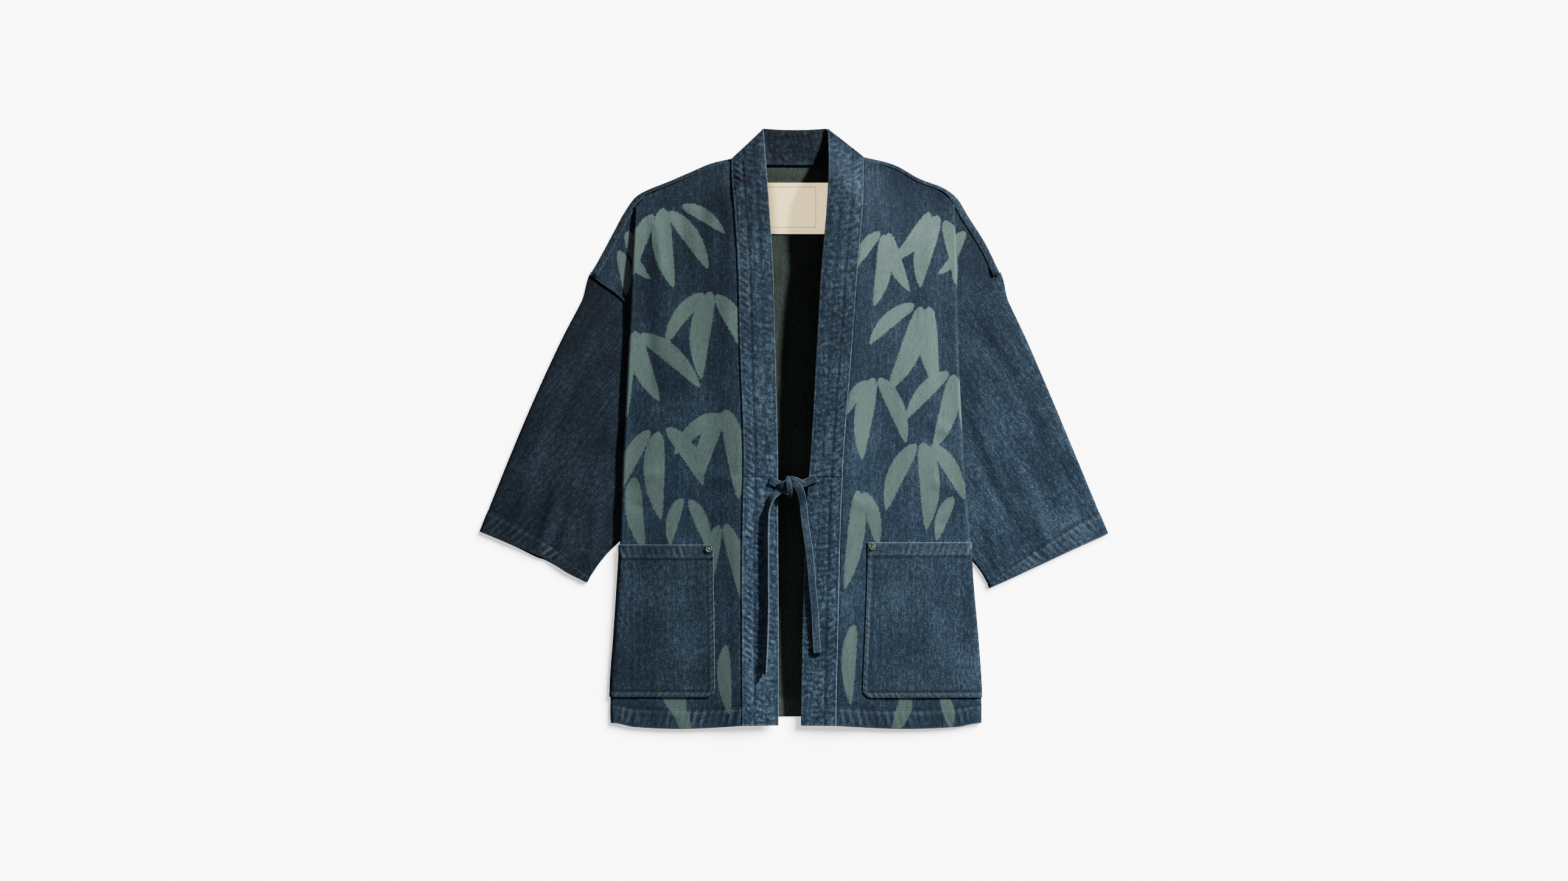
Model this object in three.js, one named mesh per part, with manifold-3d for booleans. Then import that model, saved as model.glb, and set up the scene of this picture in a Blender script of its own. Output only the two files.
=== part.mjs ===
// A denim kimono jacket laid out on its back: wide sleeves, a quilted band tied at the waist, two pockets.
// Millimetres. X runs across the jacket, +Y towards the neck, and +Z up from the surface that it lies on.
// Left and right are as seen from above. Distances from the middle line are given as positive numbers.

import * as THREE from 'three';
import Module from 'manifold-3d';
import { mergeVertices } from 'three/addons/utils/BufferGeometryUtils.js';

const wasm = await Module();
wasm.setup();

// Cloth and sewing
const DENIM = 1.6;
const GAP = 0.3;
const BAND_THICK = 3;
const LABEL_THICK = 1;
const FELL_WIDTH = 8;
const FELL_THICK = 1.6;
const FELL_SLANT = 0.7;
const BODY_LENGTH = 750;
const BODY_HEM = 25;
const HEM_SAG = 4.5;
const HEM_LIFT = 3;
const CUFF_HEM = 25;
const POCKET_HEM = 19;
const HEM_RAISE = 0.5;
const FOLD_STEP = 0.004;

// The collar band: its channels lie between rows of stitching, at these distances from the outer edge
const BAND_WIDTH = 47;
const BAND_ROWS = [2.7, 16, 30.5, 44];
const QUILT_RAISE = 0.7;
const BAND_SEAM = -66;
const BAND_FOOT = -397;
const BAND_PROUD = 1.2;

// The back
const BACK_NECK = 351;
const BACK_HEM = -385.6;
const NECK_BAND_TOP = 399;
const NECK_CORNER = 42;
const NECK_DIP = 2;
const NECK_BAND_SHORT = 8;
const SHOULDER_NECK = 86;
const LABEL = { left: -50, right: 56, bottom: 258, top: 326.5 };

// Heights where the upper layers come down to a seam
const LAID = DENIM + GAP;
const SEAM_TOP = 4.4;
const CORNER_TOP = 8.5;
const SHOULDER_RISE = 95;
const CORNER_RISE = 62;
const CORNER_BLEND = 40;
const OPENING_BULGE = 1.3;
const ROLL_BLEND = 0.2;
const FOLD_FADE = [30, 90];
const SLEEVE_LOW = 4.2;
const SLEEVE_HIGH = 8.2;

const SIDES = { left: -1, right: 1 };

// The body at stations up its length: the rolled side of the front, and the band's outer and inner edges
const BODY = {
  left: table('y fold out in', [
    [-400, 245, 70.6, 21.8],
    [-348, 246, 70.7, 21.8],
    [-277, 241, 70.8, 21.9],
    [-209, 236.5, 71, 22],
    [-154, 233, 70.6, 22.4],
    [-105, 231.4, 69.8, 22.7],
    [-30, 228.4, 68.7, 23],
    [116, 221.2, 73.8, 26.6],
    [208, 217.3, 76, 29],
    [287, 213, 80.6, 33.7],
    [346, 211, 84.6, 38],
    [400, 211, 86, 42]
  ]),
  right: table('y fold out in', [
    [-400, 248.5, 54.8, 7.7],
    [-348, 248.2, 55.4, 8.5],
    [-277, 243.2, 57.2, 9.7],
    [-209, 237, 58.7, 12],
    [-154, 233.5, 59.8, 13.6],
    [-105, 229.4, 61.5, 15.2],
    [-30, 224, 64.9, 21],
    [116, 217.2, 76.3, 29.2],
    [208, 215.4, 82.7, 34.4],
    [287, 213, 89.6, 41.4],
    [346, 212, 91.5, 44.3],
    [400, 212, 92, 43.3]
  ])
};

// Heights of the cloth's upper face at the rolled side and at the opening, and how far the roll tucks in
const HEIGHTS = table('y fold edge tuck', [
  [-400, 11, 15, 14],
  [-348, 12, 17.5, 14],
  [-277, 12.5, 20.5, 14],
  [-209, 14, 23.5, 16],
  [-154, 16, 26.5, 21],
  [-105, 16.5, 29, 28],
  [-30, 16.5, 32, 33],
  [80, 16, 35, 26],
  [128, 14.5, 35.5, 16],
  [208, 12, 34, 12],
  [287, 9, 29, 9],
  [346, 8, 24, 7],
  [400, 8, 20, 7]
]);

// The height on which the roll rests: the surface below the underarm, the sleeve above it, then the shoulder
const ROLL_REST = table('y rest', [
  [-60, 8.6],
  [60, 8.6],
  [116, 7.9],
  [159, 5.8],
  [230, 4.4],
  [300, 3.9]
]);
const ROLL_CLIMB = 55;
const FRONT_COLUMNS = 11;
const ROLL_TURNS = 5;
const ROLL_PAST = 6;

// The shoulder seen from above, from the neck over the shoulder point to the armhole seam
const SHOULDER = {
  left: table('x y', [
    [86, 358.4], [114, 351.5], [142, 339.6], [170, 327.5], [195, 317.6],
    [212, 308], [228, 286], [241, 262], [262, 223], [272.2, 205.4]
  ]),
  right: table('x y', [
    [90, 361], [132, 350.5], [166, 332], [199, 319], [216, 306],
    [231, 282], [254, 245.5], [272.5, 207.5]
  ])
};
const SHOULDER_POINT = 212;

// The armhole seam, as distances inside the rolled side; its lower part lies hidden under the front
const ARMHOLE = table('y inset', [
  [203.4, -54.6], [190, -36], [176, -16], [159, 0], [128, 15],
  [80, 25.5], [20, 32], [-50, 33], [-100, 29], [-132, 24]
]);
const UNDERARM = {
  left: { y: -150, scale: 1 },
  right: { y: -188, scale: 1.2 }
};
const ARMHOLE_REACH = { left: 1, right: 1.07 };

// Shares of the armhole seam at which the pieces that meet there have their corners
const SEAM_SHARES = [0, 0.025, 0.05, 0.075, 0.1, 0.125, 0.15, 0.21, 0.3, 0.4, 0.5, 0.6, 0.7, 0.8, 0.9, 1];
const CAP_SHARES = SEAM_SHARES.filter((share) => share > 0 && share < 0.2);
const FELL_SHARES = SEAM_SHARES.filter((share) => share > 0 && share < 0.14);

const CAP_UNDER = 17;
const CAP_FROM = SHOULDER_POINT - 8;
const TUCK_SINKS = [145, 165];

// The cuffs from the outer edge to the underarm edge; under is how far the lower layer shows past the upper
const CUFF = {
  left: table('s x y under', [
    [0, 420.3, -138.8, 0], [0.33, 373.5, -158, 1], [0.5, 346, -169.5, 3],
    [0.63, 331, -176, 2], [0.82, 305, -193, 0], [1, 277, -207.2, 0]
  ]),
  right: table('s x y under', [
    [0, 417.9, -141.5, 0], [0.33, 365, -165.5, 0], [0.5, 338.5, -178, 0],
    [0.63, 318, -187.5, 0], [0.82, 288, -201.5, 0], [1, 259.2, -214.4, 0]
  ])
};
const SLEEVE_BULGE = { left: 6, right: 2.5 };
const UNDERARM_BULGE = 7;
const SLEEVE_LINE = { x: 0.4, y: 0.92 };
const SLEEVE_LENGTH = 300;

// The sleeve's layers part where these shares of its length and width add up to the given range
const SLEEVE_OPENS = { along: 1.6, across: 1.1, from: 0.05, to: 0.45 };

// Broad folds in the upper layers: ridges along a line, with their half width and height
const FRONT_FOLDS = {
  left: table('x0 y0 x1 y1 width height', [
    [200, 250, 150, 40, 24, 2.2],
    [122, 300, 108, 60, 24, 1.6],
    [168, -20, 160, -380, 28, 1.8],
    [112, 20, 104, -130, 22, 1.1],
    [210, 60, 203, -130, 22, 1.2]
  ]),
  right: table('x0 y0 x1 y1 width height', [
    [196, 265, 158, 90, 24, 2],
    [130, 300, 118, 20, 24, 1.6],
    [176, 30, 170, -380, 28, 1.7],
    [110, -10, 100, -140, 22, 1.2],
    [208, 100, 204, -130, 22, 1]
  ])
};
const SLEEVE_FOLDS = {
  left: table('x0 y0 x1 y1 width height', [
    [230, 60, 352, -172, 15, 1.7],
    [240, -60, 300, -190, 12, 1.4],
    [272, 130, 388, -120, 14, 1]
  ]),
  right: table('x0 y0 x1 y1 width height', [
    [228, 80, 340, -176, 14, 1.5],
    [240, -40, 292, -196, 12, 1.3],
    [276, 120, 384, -130, 15, 1]
  ])
};

const POCKET = {
  left: { top: -155.7, foot: -359, inner: [[-155, 108], [-221, 107.4], [-333, 106], [-360, 106]] },
  right: { top: -152.5, foot: -359.8, inner: [[-152, 96.5], [-202, 95.5], [-277, 92.7], [-360, 89]] }
};
const POCKET_CORNER = 13;
const POCKET_WRAP = FRONT_COLUMNS + 1;
const POCKET_STEPS = [0, 0.004, 0.015, 0.035, 0.065, 0.2, 0.36, 0.52, 0.68, 0.84];
const RIVET = {
  radius: 4.65,
  height: 1.6,
  left: [114.5, -161.3],
  right: [102.6, -158.5],
  profile: [[0, 0], [1, 0], [1, 0.5], [0.86, 0.85], [0.5, 0.8], [0.3, 1], [0, 1]]
};

// The ties: two sewn strips that leave the band's seam and are knotted over the opening
const TIE_WIDTH = 10;
const TIE_THICK = 2.6;
const TIE_STEP = 11;
const KNOT = { x: -6.5, y: -77, z: 34, width: 26, length: 28, height: 13, waist: 0.1 };
const TIES = {
  tie_lead_left: table('x y lift tilt', [
    [-33.5, -69.5, 0, 0], [-29.5, -71.5, 0, 0], [-25.5, -73.5, 0, 0], [-20, -75.7, 0, 0]
  ]),
  tie_lead_right: table('x y lift tilt', [
    [29, -67, 0, 0], [22, -69.5, 0, 0], [14.5, -73, 0, 0], [7.3, -75.8, 0, 0]
  ]),
  tie_tail_left: table('x y lift tilt', [
    [-16, -85.9, 1.5, 20], [-27, -94, 3, 40], [-35, -108, 3, 55], [-37.4, -125, 3, 57], [-37.6, -154, 3, 57],
    [-37.6, -209, 3, 57], [-37.5, -243, 3, 57], [-39, -293, 3, 57], [-40.8, -327.5, 3, 57]
  ]),
  tie_tail_right: table('x y lift tilt', [
    [2.2, -88, 0, 0], [9.6, -102, 0.6, 0], [12.5, -120, 0.3, 0], [16.4, -147, 0, 0], [19.6, -170, 0, 0],
    [23, -209, 0, 0], [26.3, -243, 0, 0], [27.9, -276, 0, 0], [29.6, -301, 0, 0]
  ])
};

const DENIM_COLOUR = 0x33475c;
const INSIDE_COLOUR = 0x4a5a52;
const LABEL_COLOUR = 0xe8e2c6;
const RIVET_COLOUR = 0x87a095;

function table(columns, rows) {
  const names = columns.split(' ');
  return rows.map((row) => Object.fromEntries(row.map((value, index) => [names[index], value])));
}

// A smooth curve through two columns of a table, level past its ends
function curve(rows, from, to) {
  const points = [...rows].sort((a, b) => a[from] - b[from]);
  const slope = (i) => {
    const a = points[Math.max(i - 1, 0)];
    const b = points[Math.min(i + 1, points.length - 1)];
    return (b[to] - a[to]) / (b[from] - a[from]);
  };
  return (value) => {
    const at = THREE.MathUtils.clamp(value, points[0][from], points[points.length - 1][from]);
    let i = 0;
    while (i < points.length - 2 && at > points[i + 1][from]) i += 1;
    const step = points[i + 1][from] - points[i][from];
    const t = (at - points[i][from]) / step;
    const start = points[i][to] * (1 + 2 * t) * (1 - t) ** 2 + slope(i) * step * t * (1 - t) ** 2;
    return start + points[i + 1][to] * t * t * (3 - 2 * t) + slope(i + 1) * step * t * t * (t - 1);
  };
}

const { lerp, clamp, smoothstep } = THREE.MathUtils;

// Evenly spaced numbers, both ends among them
function spread(count, from = 0, to = 1) {
  return Array.from({ length: count }, (_, i) => lerp(from, to, i / (count - 1)));
}

const foldAt = mapSides((side) => curve(BODY[side], 'y', 'fold'));
const outAt = mapSides((side) => curve(BODY[side], 'y', 'out'));
const inAt = mapSides((side) => curve(BODY[side], 'y', 'in'));
const foldHeight = curve(HEIGHTS, 'y', 'fold');
const edgeHeight = curve(HEIGHTS, 'y', 'edge');
const tuckAt = curve(HEIGHTS, 'y', 'tuck');
const restAt = curve(ROLL_REST, 'y', 'rest');

function mapSides(make) {
  return { left: make('left'), right: make('right') };
}

// The shoulder's edge seen from above, moved inwards
function shoulderLine(side, inset) {
  const plan = SHOULDER[side].map(({ x, y }) => new THREE.Vector3(x, y, 0));
  const line = new THREE.CatmullRomCurve3(plan, false, 'centripetal');
  return spread(22).map((t) => {
    const along = line.getTangentAt(t);
    const point = line.getPointAt(t);
    return new THREE.Vector2(point.x + along.y * inset, point.y - along.x * inset);
  });
}

function heightOfLine(line, x) {
  const next = line.findIndex((point) => point.x >= x);
  if (next <= 0) return line[next === 0 ? 0 : line.length - 1].y;
  const [a, b] = [line[next - 1], line[next]];
  return lerp(a.y, b.y, (x - a.x) / (b.x - a.x));
}

const shoulderEdge = mapSides((side) => shoulderLine(side, 0));
const shoulderSeam = mapSides((side) => shoulderLine(side, FELL_WIDTH + GAP));

// Where the upper layer ends towards the neck: the shoulder, or the collar's turned corner
function topEdge(side, x) {
  if (x >= SHOULDER_NECK) return heightOfLine(shoulderEdge[side], x);
  const neck = shoulderEdge[side][0].y;
  return lerp(NECK_BAND_TOP, neck, clamp((x - NECK_CORNER) / (SHOULDER_NECK - NECK_CORNER), 0, 1));
}

function ridges(folds, x, y) {
  return folds.reduce((sum, fold) => {
    const run = new THREE.Vector2(fold.x1 - fold.x0, fold.y1 - fold.y0);
    const from = new THREE.Vector2(x - fold.x0, y - fold.y0);
    const t = from.dot(run) / run.lengthSq();
    const off = from.cross(run) / run.length();
    const ends = smoothstep(t, -0.15, 0.25) * (1 - smoothstep(t, 0.7, 1.15));
    return sum + fold.height * ends * Math.exp(-((off / fold.width) ** 2));
  }, 0);
}

// The roll at a front's side, as a section at one height up the body
function roll(side, y) {
  const climb = smoothstep(y, UNDERARM[side].y - ROLL_CLIMB, UNDERARM[side].y - ROLL_CLIMB / 6);
  const rest = restAt(y) * climb;
  const radius = (foldHeight(y) - rest - DENIM) / 2;
  return { rest, radius, start: foldAt[side](y) - DENIM / 2 - radius, middle: rest + DENIM / 2 + radius };
}

// Height of the front's upper face: it climbs from the roll to the opening and comes down to the shoulder
function frontTop(side, x, y) {
  const start = roll(side, y).start;
  const inwards = clamp((start - x) / (start - inAt[side](y)), 0, 1);
  const free = lerp(foldHeight(y), edgeHeight(y), Math.sin((Math.PI / 2) * inwards) ** OPENING_BULGE);
  const nearNeck = 1 - smoothstep(x, SHOULDER_NECK, SHOULDER_NECK + CORNER_BLEND);
  const below = topEdge(side, x) - y;
  const climb = smoothstep(below, 0, lerp(SHOULDER_RISE, CORNER_RISE, nearNeck));
  const lifted = lerp(lerp(SEAM_TOP, CORNER_TOP, nearNeck), free, climb);
  const folds = ridges(FRONT_FOLDS[side], x, y) * smoothstep(below, ...FOLD_FADE);
  const flat = smoothstep(inwards, 0, ROLL_BLEND);
  return lerp(foldHeight(y), lifted, flat) + folds * flat;
}

// A wall round a grid of centre points. Its outer face is the one that each row's left-to-right by each
// column's bottom-to-top turns up. A ring grid closes on itself along its rows.
function wall(rows, { thick = DENIM, ring = false, flip = false, raise = () => 0, lift = 0 } = {}) {
  const grid = flip ? rows.map((row) => [...row].reverse()) : rows;
  const [height, width] = [grid.length, grid[0].length];
  const column = (j) => (ring ? (j + width) % width : clamp(j, 0, width - 1));
  const normals = grid.map((row, i) => row.map((point, j) => {
    const across = row[column(j + 1)].clone().sub(row[column(j - 1)]);
    const up = grid[Math.min(i + 1, height - 1)][j].clone().sub(grid[Math.max(i - 1, 0)][j]);
    return across.cross(up).normalize();
  }));
  const face = (sign, offset) => grid.flatMap((row, i) => row.map((point, j) => {
    const lifted = lift + sign * (thick / 2) + offset(point, i, j);
    return point.clone().addScaledVector(normals[i][j], lifted);
  }));
  const points = [...face(1, raise), ...face(-1, () => 0)];
  const under = height * width;
  const index = [];
  const quad = (a, b, c, d) => index.push(a, b, c, a, c, d);
  const last = ring ? width : width - 1;
  for (let i = 0; i < height - 1; i += 1) {
    for (let j = 0; j < last; j += 1) {
      const [a, b] = [i * width + j, i * width + column(j + 1)];
      quad(a, b, b + width, a + width);
      quad(under + a, under + a + width, under + b + width, under + b);
    }
    if (!ring) {
      const [a, b] = [i * width, i * width + width - 1];
      quad(a, a + width, under + a + width, under + a);
      quad(b + width, b, under + b, under + b + width);
    }
  }
  for (let j = 0; j < last; j += 1) {
    const [a, b] = [j, column(j + 1)];
    const [c, d] = [a + (height - 1) * width, b + (height - 1) * width];
    quad(b, a, under + a, under + b);
    quad(c, d, under + d, under + c);
  }
  const geometry = new THREE.BufferGeometry();
  geometry.setFromPoints(points);
  geometry.setIndex(index);
  return { geometry, grid: rows, normals: flip ? normals.map((row) => [...row].reverse()) : normals };
}

// The point and the outward direction on a wall's grid, at a row and a column that may lie between two
function pointOn({ grid, normals }, row, column) {
  const i = clamp(Math.floor(row), 0, grid.length - 2);
  const j = clamp(Math.floor(column), 0, grid[0].length - 2);
  const mix = (list) => {
    const lower = list[i][j].clone().lerp(list[i][j + 1], column - j);
    return lower.lerp(list[i + 1][j].clone().lerp(list[i + 1][j + 1], column - j), row - i);
  };
  return { point: mix(grid), normal: mix(normals).normalize() };
}

function solve(error, low, high) {
  let [from, to] = [low, high];
  for (let step = 0; step < 24; step += 1) {
    const middle = (from + to) / 2;
    if (error(middle) < 0) from = middle;
    else to = middle;
  }
  return (from + to) / 2;
}

// The row and the column of a front that lie at a place seen from above, on its flat part
function placeOn(panel, x, y) {
  let [row, column] = [0, FRONT_COLUMNS / 2];
  for (let turn = 0; turn < 5; turn += 1) {
    row = solve((at) => pointOn(panel, at, column).point.y - y, 0, panel.grid.length - 1);
    column = solve((at) => Math.abs(pointOn(panel, row, at).point.x) - x, 0, FRONT_COLUMNS - 1);
  }
  return { row, column };
}

function toSolid(geometry) {
  const bare = new THREE.BufferGeometry();
  bare.setAttribute('position', geometry.getAttribute('position').clone());
  bare.setIndex(geometry.index);
  const merged = mergeVertices(bare, 1e-4);
  return new wasm.Manifold(new wasm.Mesh({
    numProp: 3,
    vertProperties: Float32Array.from(merged.getAttribute('position').array),
    triVerts: Uint32Array.from(merged.index.array)
  }));
}

function joined(first, second) {
  const result = toSolid(first).add(toSolid(second)).getMesh();
  const geometry = new THREE.BufferGeometry();
  geometry.setAttribute('position', new THREE.Float32BufferAttribute(result.vertProperties, 3));
  geometry.setIndex([...result.triVerts]);
  return geometry;
}

function plate(points, low, thick) {
  const geometry = new THREE.ExtrudeGeometry(new THREE.Shape(points), { depth: thick, bevelEnabled: false });
  return geometry.translate(0, 0, low);
}

// The armhole seam seen from above, moved towards the body by an inset
function armhole(side, share, inset = 0) {
  const insetAt = curve(ARMHOLE, 'y', 'inset');
  const first = ARMHOLE[0].y;
  const foot = ARMHOLE[ARMHOLE.length - 1].y;
  const plain = lerp(first, foot, share);
  const y = plain > 0 ? plain : plain * UNDERARM[side].scale;
  const own = insetAt(plain);
  const reach = own < 0 ? ARMHOLE_REACH[side] : 1;
  return new THREE.Vector2(foldAt[side](y) - own * reach - inset, y);
}

// Front: from the band's seam to the side, round the roll and in under itself
function frontWall(side) {
  const sign = SIDES[side];
  const columns = spread(FRONT_COLUMNS);
  const turns = spread(ROLL_TURNS + 1, 0, Math.PI).slice(1);
  const tucks = spread(4).slice(1);
  const hemRow = BODY_HEM / BODY_LENGTH;
  const rows = [0, hemRow, hemRow + FOLD_STEP, ...spread(21, 2 * hemRow, 1)].map((v) => {
    const row = [];
    const place = (c) => {
      const hem = BAND_FOOT - HEM_SAG * Math.sin(Math.PI * c) + HEM_LIFT * smoothstep(c, 0.85, 1);
      const topX = lerp(outAt[side](BACK_NECK), SHOULDER_POINT + ROLL_PAST, c);
      const y = lerp(hem, heightOfLine(shoulderSeam[side], topX), v);
      const x = lerp(outAt[side](y) + GAP, roll(side, y).start, c);
      return { x, y };
    };
    for (const c of columns) {
      const { x, y } = place(c);
      row.push(new THREE.Vector3(sign * x, y, frontTop(side, x, y) - DENIM / 2));
    }
    const { y } = place(1);
    const { start, radius, middle, rest } = roll(side, y);
    for (const a of turns) {
      row.push(new THREE.Vector3(sign * (start + radius * Math.sin(a)), y, middle + radius * Math.cos(a)));
    }
    const end = foldAt[side](y) - tuckAt(y);
    const sink = smoothstep(y, ...TUCK_SINKS) * (rest - LAID);
    for (const t of tucks) {
      row.push(new THREE.Vector3(sign * lerp(start, end, t), y, rest + DENIM / 2 - sink * t ** 2));
    }
    return row;
  });
  const raise = (point) => (point.y < BAND_FOOT + BODY_HEM - 1 && point.z > DENIM ? HEM_RAISE : 0);
  return wall(rows, { flip: side === 'left', raise });
}

// The front's cloth past the roll: it lies on the back as far as the armhole seam
function shoulderCap(side) {
  const outer = shoulderSeam[side].filter((point) => point.x > CAP_FROM);
  const seam = CAP_SHARES.map((share) => armhole(side, share, 2 * GAP));
  const end = seam[seam.length - 1];
  const inner = spread(5).map((t) => {
    const y = lerp(end.y, outer[0].y - 2, t);
    return new THREE.Vector2(Math.min(foldAt[side](y) - CAP_UNDER, end.x - 1), y);
  });
  const points = [...outer, ...seam, ...inner].map((p) => new THREE.Vector2(SIDES[side] * p.x, p.y));
  return plate(points, LAID, DENIM);
}

// Sleeve: a flattened tube, open at the armhole and at the cuff. k runs down its length and s across it.
function sleeve(side) {
  const sign = SIDES[side];
  const cuffX = curve(CUFF[side], 's', 'x');
  const cuffY = curve(CUFF[side], 's', 'y');
  const under = curve(CUFF[side], 's', 'under');
  const place = (k, s) => {
    const top = armhole(side, s);
    const bulge = Math.sin(Math.PI * k) * lerp(SLEEVE_BULGE[side], UNDERARM_BULGE, s);
    return new THREE.Vector2(
      lerp(top.x, cuffX(s), k) + bulge * SLEEVE_LINE.y,
      lerp(top.y, cuffY(s), k) + bulge * SLEEVE_LINE.x
    );
  };
  const placeInside = (k, s) => {
    const round = (SLEEVE_HIGH / 2) * smoothstep(k, 0, 0.1);
    const trim = round / place(k, 0).distanceTo(place(k, 1));
    return place(k, lerp(trim, 1 - trim, s));
  };
  const heightOf = (k, s) => {
    const { x, y } = placeInside(k, s);
    const reach = SLEEVE_OPENS.along * k + SLEEVE_OPENS.across * s;
    const open = smoothstep(reach, SLEEVE_OPENS.from, SLEEVE_OPENS.to);
    const inside = smoothstep(Math.min(s, 1 - s), 0, 0.16) * smoothstep(k, 0.1, 0.3);
    return lerp(SLEEVE_LOW, SLEEVE_HIGH, open) + ridges(SLEEVE_FOLDS[side], x, y) * inside;
  };
  const edge = (k, s) => {
    const spot = placeInside(k, s);
    const half = heightOf(k, s) / 2;
    const radius = half - DENIM / 2;
    const away = spot.clone().sub(placeInside(k, s + (s > 0.5 ? -0.05 : 0.05))).setLength(radius);
    return [-0.5, 0.5].map((turn) => new THREE.Vector3(
      sign * (spot.x + away.x * Math.cos(turn)),
      spot.y + away.y * Math.cos(turn),
      half + radius * Math.sin(turn)
    ));
  };
  const hemShare = CUFF_HEM / SLEEVE_LENGTH;
  const rings = [...spread(11, 0, 1 - 1.2 * hemShare), 1 - hemShare, 1].map((k) => {
    const flat = (s, drop, z) => {
      const { x, y } = placeInside(k, s);
      return new THREE.Vector3(sign * x, y - drop, z);
    };
    const lower = SEAM_SHARES.map((s) => flat(s, under(s) * k ** 8, DENIM / 2));
    const upper = [...SEAM_SHARES].reverse().map((s) => flat(s, 0, heightOf(k, s) - DENIM / 2));
    return [...lower, ...edge(k, 1), ...upper, ...edge(k, 0).reverse()];
  });
  const raise = (point, i) => (i >= rings.length - 2 && point.z > SLEEVE_LOW / 2 ? HEM_RAISE : 0);
  return wall(rings, { ring: true, flip: side === 'right', raise });
}

// Places across the band, at its stitched rows and on the crowns between them, with how far each is raised
function bandColumns() {
  const crowns = BAND_ROWS.slice(1).map((row, i) => (row + BAND_ROWS[i]) / 2);
  const marks = [
    { at: 0, raise: 0 },
    ...BAND_ROWS.map((at) => ({ at, raise: 0 })),
    ...crowns.map((at) => ({ at, raise: QUILT_RAISE })),
    { at: BAND_WIDTH, raise: 0 }
  ];
  return marks.sort((a, b) => a.at - b.at).map(({ at, raise }) => ({ share: at / BAND_WIDTH, raise }));
}

function bandWall(side, ends, steps) {
  const marks = bandColumns();
  const rows = spread(steps).map((t) => marks.map(({ share }) => {
    const y = lerp(ends.from, lerp(ends.outer, ends.inner, share), t);
    const x = lerp(outAt[side](y), inAt[side](y), share);
    return new THREE.Vector3(SIDES[side] * x, y, frontTop(side, x, y) + BAND_PROUD - BAND_THICK / 2);
  }));
  const order = side === 'left' ? marks : [...marks].reverse();
  return wall(rows, { thick: BAND_THICK, flip: side === 'right', raise: (point, i, j) => order[j].raise });
}

// The band behind the neck, with its ends cut aslant where the front bands turn over
function neckBand() {
  const marks = bandColumns();
  const rows = marks.map(({ share }) => {
    const y = lerp(BACK_NECK + GAP, NECK_BAND_TOP, share);
    const end = lerp(SHOULDER_NECK - NECK_BAND_SHORT, NECK_CORNER, share);
    const dip = NECK_DIP * share;
    return spread(9, -1, 1).map((t) => new THREE.Vector3(t * end, y - dip * (1 - t * t), BAND_THICK / 2));
  });
  return wall(rows, { thick: BAND_THICK, raise: (point, i) => marks[i].raise });
}

// The felled shoulder seam, along the shoulder's edge
function shoulderStrip(side) {
  const outer = shoulderEdge[side];
  const inner = shoulderLine(side, FELL_WIDTH);
  const rows = spread(3).map((share) => inner.map((point, i) => {
    const spot = point.clone().lerp(outer[i], share);
    const nearNeck = 1 - smoothstep(point.x, SHOULDER_NECK, SHOULDER_NECK + CORNER_BLEND);
    const upper = lerp(SEAM_TOP, CORNER_TOP - DENIM, nearNeck) - DENIM / 2;
    const z = lerp(upper, LAID + FELL_THICK / 2, share ** 2);
    return new THREE.Vector3(SIDES[side] * spot.x, spot.y, z);
  }));
  return wall(rows, { thick: FELL_THICK, flip: side === 'left' });
}

// The felled armhole seam, on the body's side of the joint
function armholeStrip(side) {
  const rows = [FELL_WIDTH, FELL_WIDTH / 2, 0].map((inset) => FELL_SHARES.map((share) => {
    const { x, y } = armhole(side, share, inset * FELL_SLANT + 2 * GAP);
    return new THREE.Vector3(SIDES[side] * x, y - inset * (1 - FELL_SLANT), 2 * LAID + DENIM / 2);
  }));
  return wall(rows, { flip: side === 'left' });
}

// Patch pocket: the front's own points moved out, so that it follows the cloth and wraps the side
function pocket(side, front) {
  const shape = POCKET[side];
  const inner = curve(shape.inner.map(([y, x]) => ({ y, x })), 'y', 'x');
  const depth = shape.top - shape.foot;
  const hem = 1 - POCKET_HEM / depth;
  const steps = [...POCKET_STEPS, hem, hem + FOLD_STEP, 1];
  const rows = steps.map((t) => {
    const y = lerp(shape.foot, shape.top, t);
    const round = Math.max(POCKET_CORNER - t * depth, 0);
    const cut = POCKET_CORNER - Math.sqrt(POCKET_CORNER ** 2 - round ** 2);
    const { column: first } = placeOn(front, inner(y) + cut, y);
    const columns = [first, ...spread(POCKET_WRAP - 2, 3, POCKET_WRAP)];
    return columns.map((column) => {
      const row = solve((at) => pointOn(front, at, column).point.y - y, 0, front.grid.length - 1);
      const { point, normal } = pointOn(front, row, column);
      return point.addScaledVector(normal, DENIM + GAP);
    });
  });
  return wall(rows, { flip: side === 'left', raise: (point, i) => (i >= rows.length - 2 ? HEM_RAISE : 0) });
}

function rivet(side, front) {
  const [x, y] = RIVET[side];
  const { radius, height } = RIVET;
  const { row, column } = placeOn(front, x, y);
  const { point, normal } = pointOn(front, row, column);
  const profile = RIVET.profile.map(([r, h]) => new THREE.Vector2(r * radius, h * height));
  const geometry = new THREE.LatheGeometry(profile, 20);
  const seat = DENIM + GAP + DENIM / 2 + HEM_RAISE + GAP;
  geometry.applyQuaternion(new THREE.Quaternion().setFromUnitVectors(new THREE.Vector3(0, 1, 0), normal));
  return geometry.translate(...point.addScaledVector(normal, seat).toArray());
}

// Height on which a tie lies at a place: a front band, or the air between them
function tieBed(x, y) {
  const side = x < 0 ? 'left' : 'right';
  const inner = inAt[side](y);
  return frontTop(side, Math.max(Math.abs(x), inner), y) + BAND_PROUD + QUILT_RAISE + GAP;
}

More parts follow.
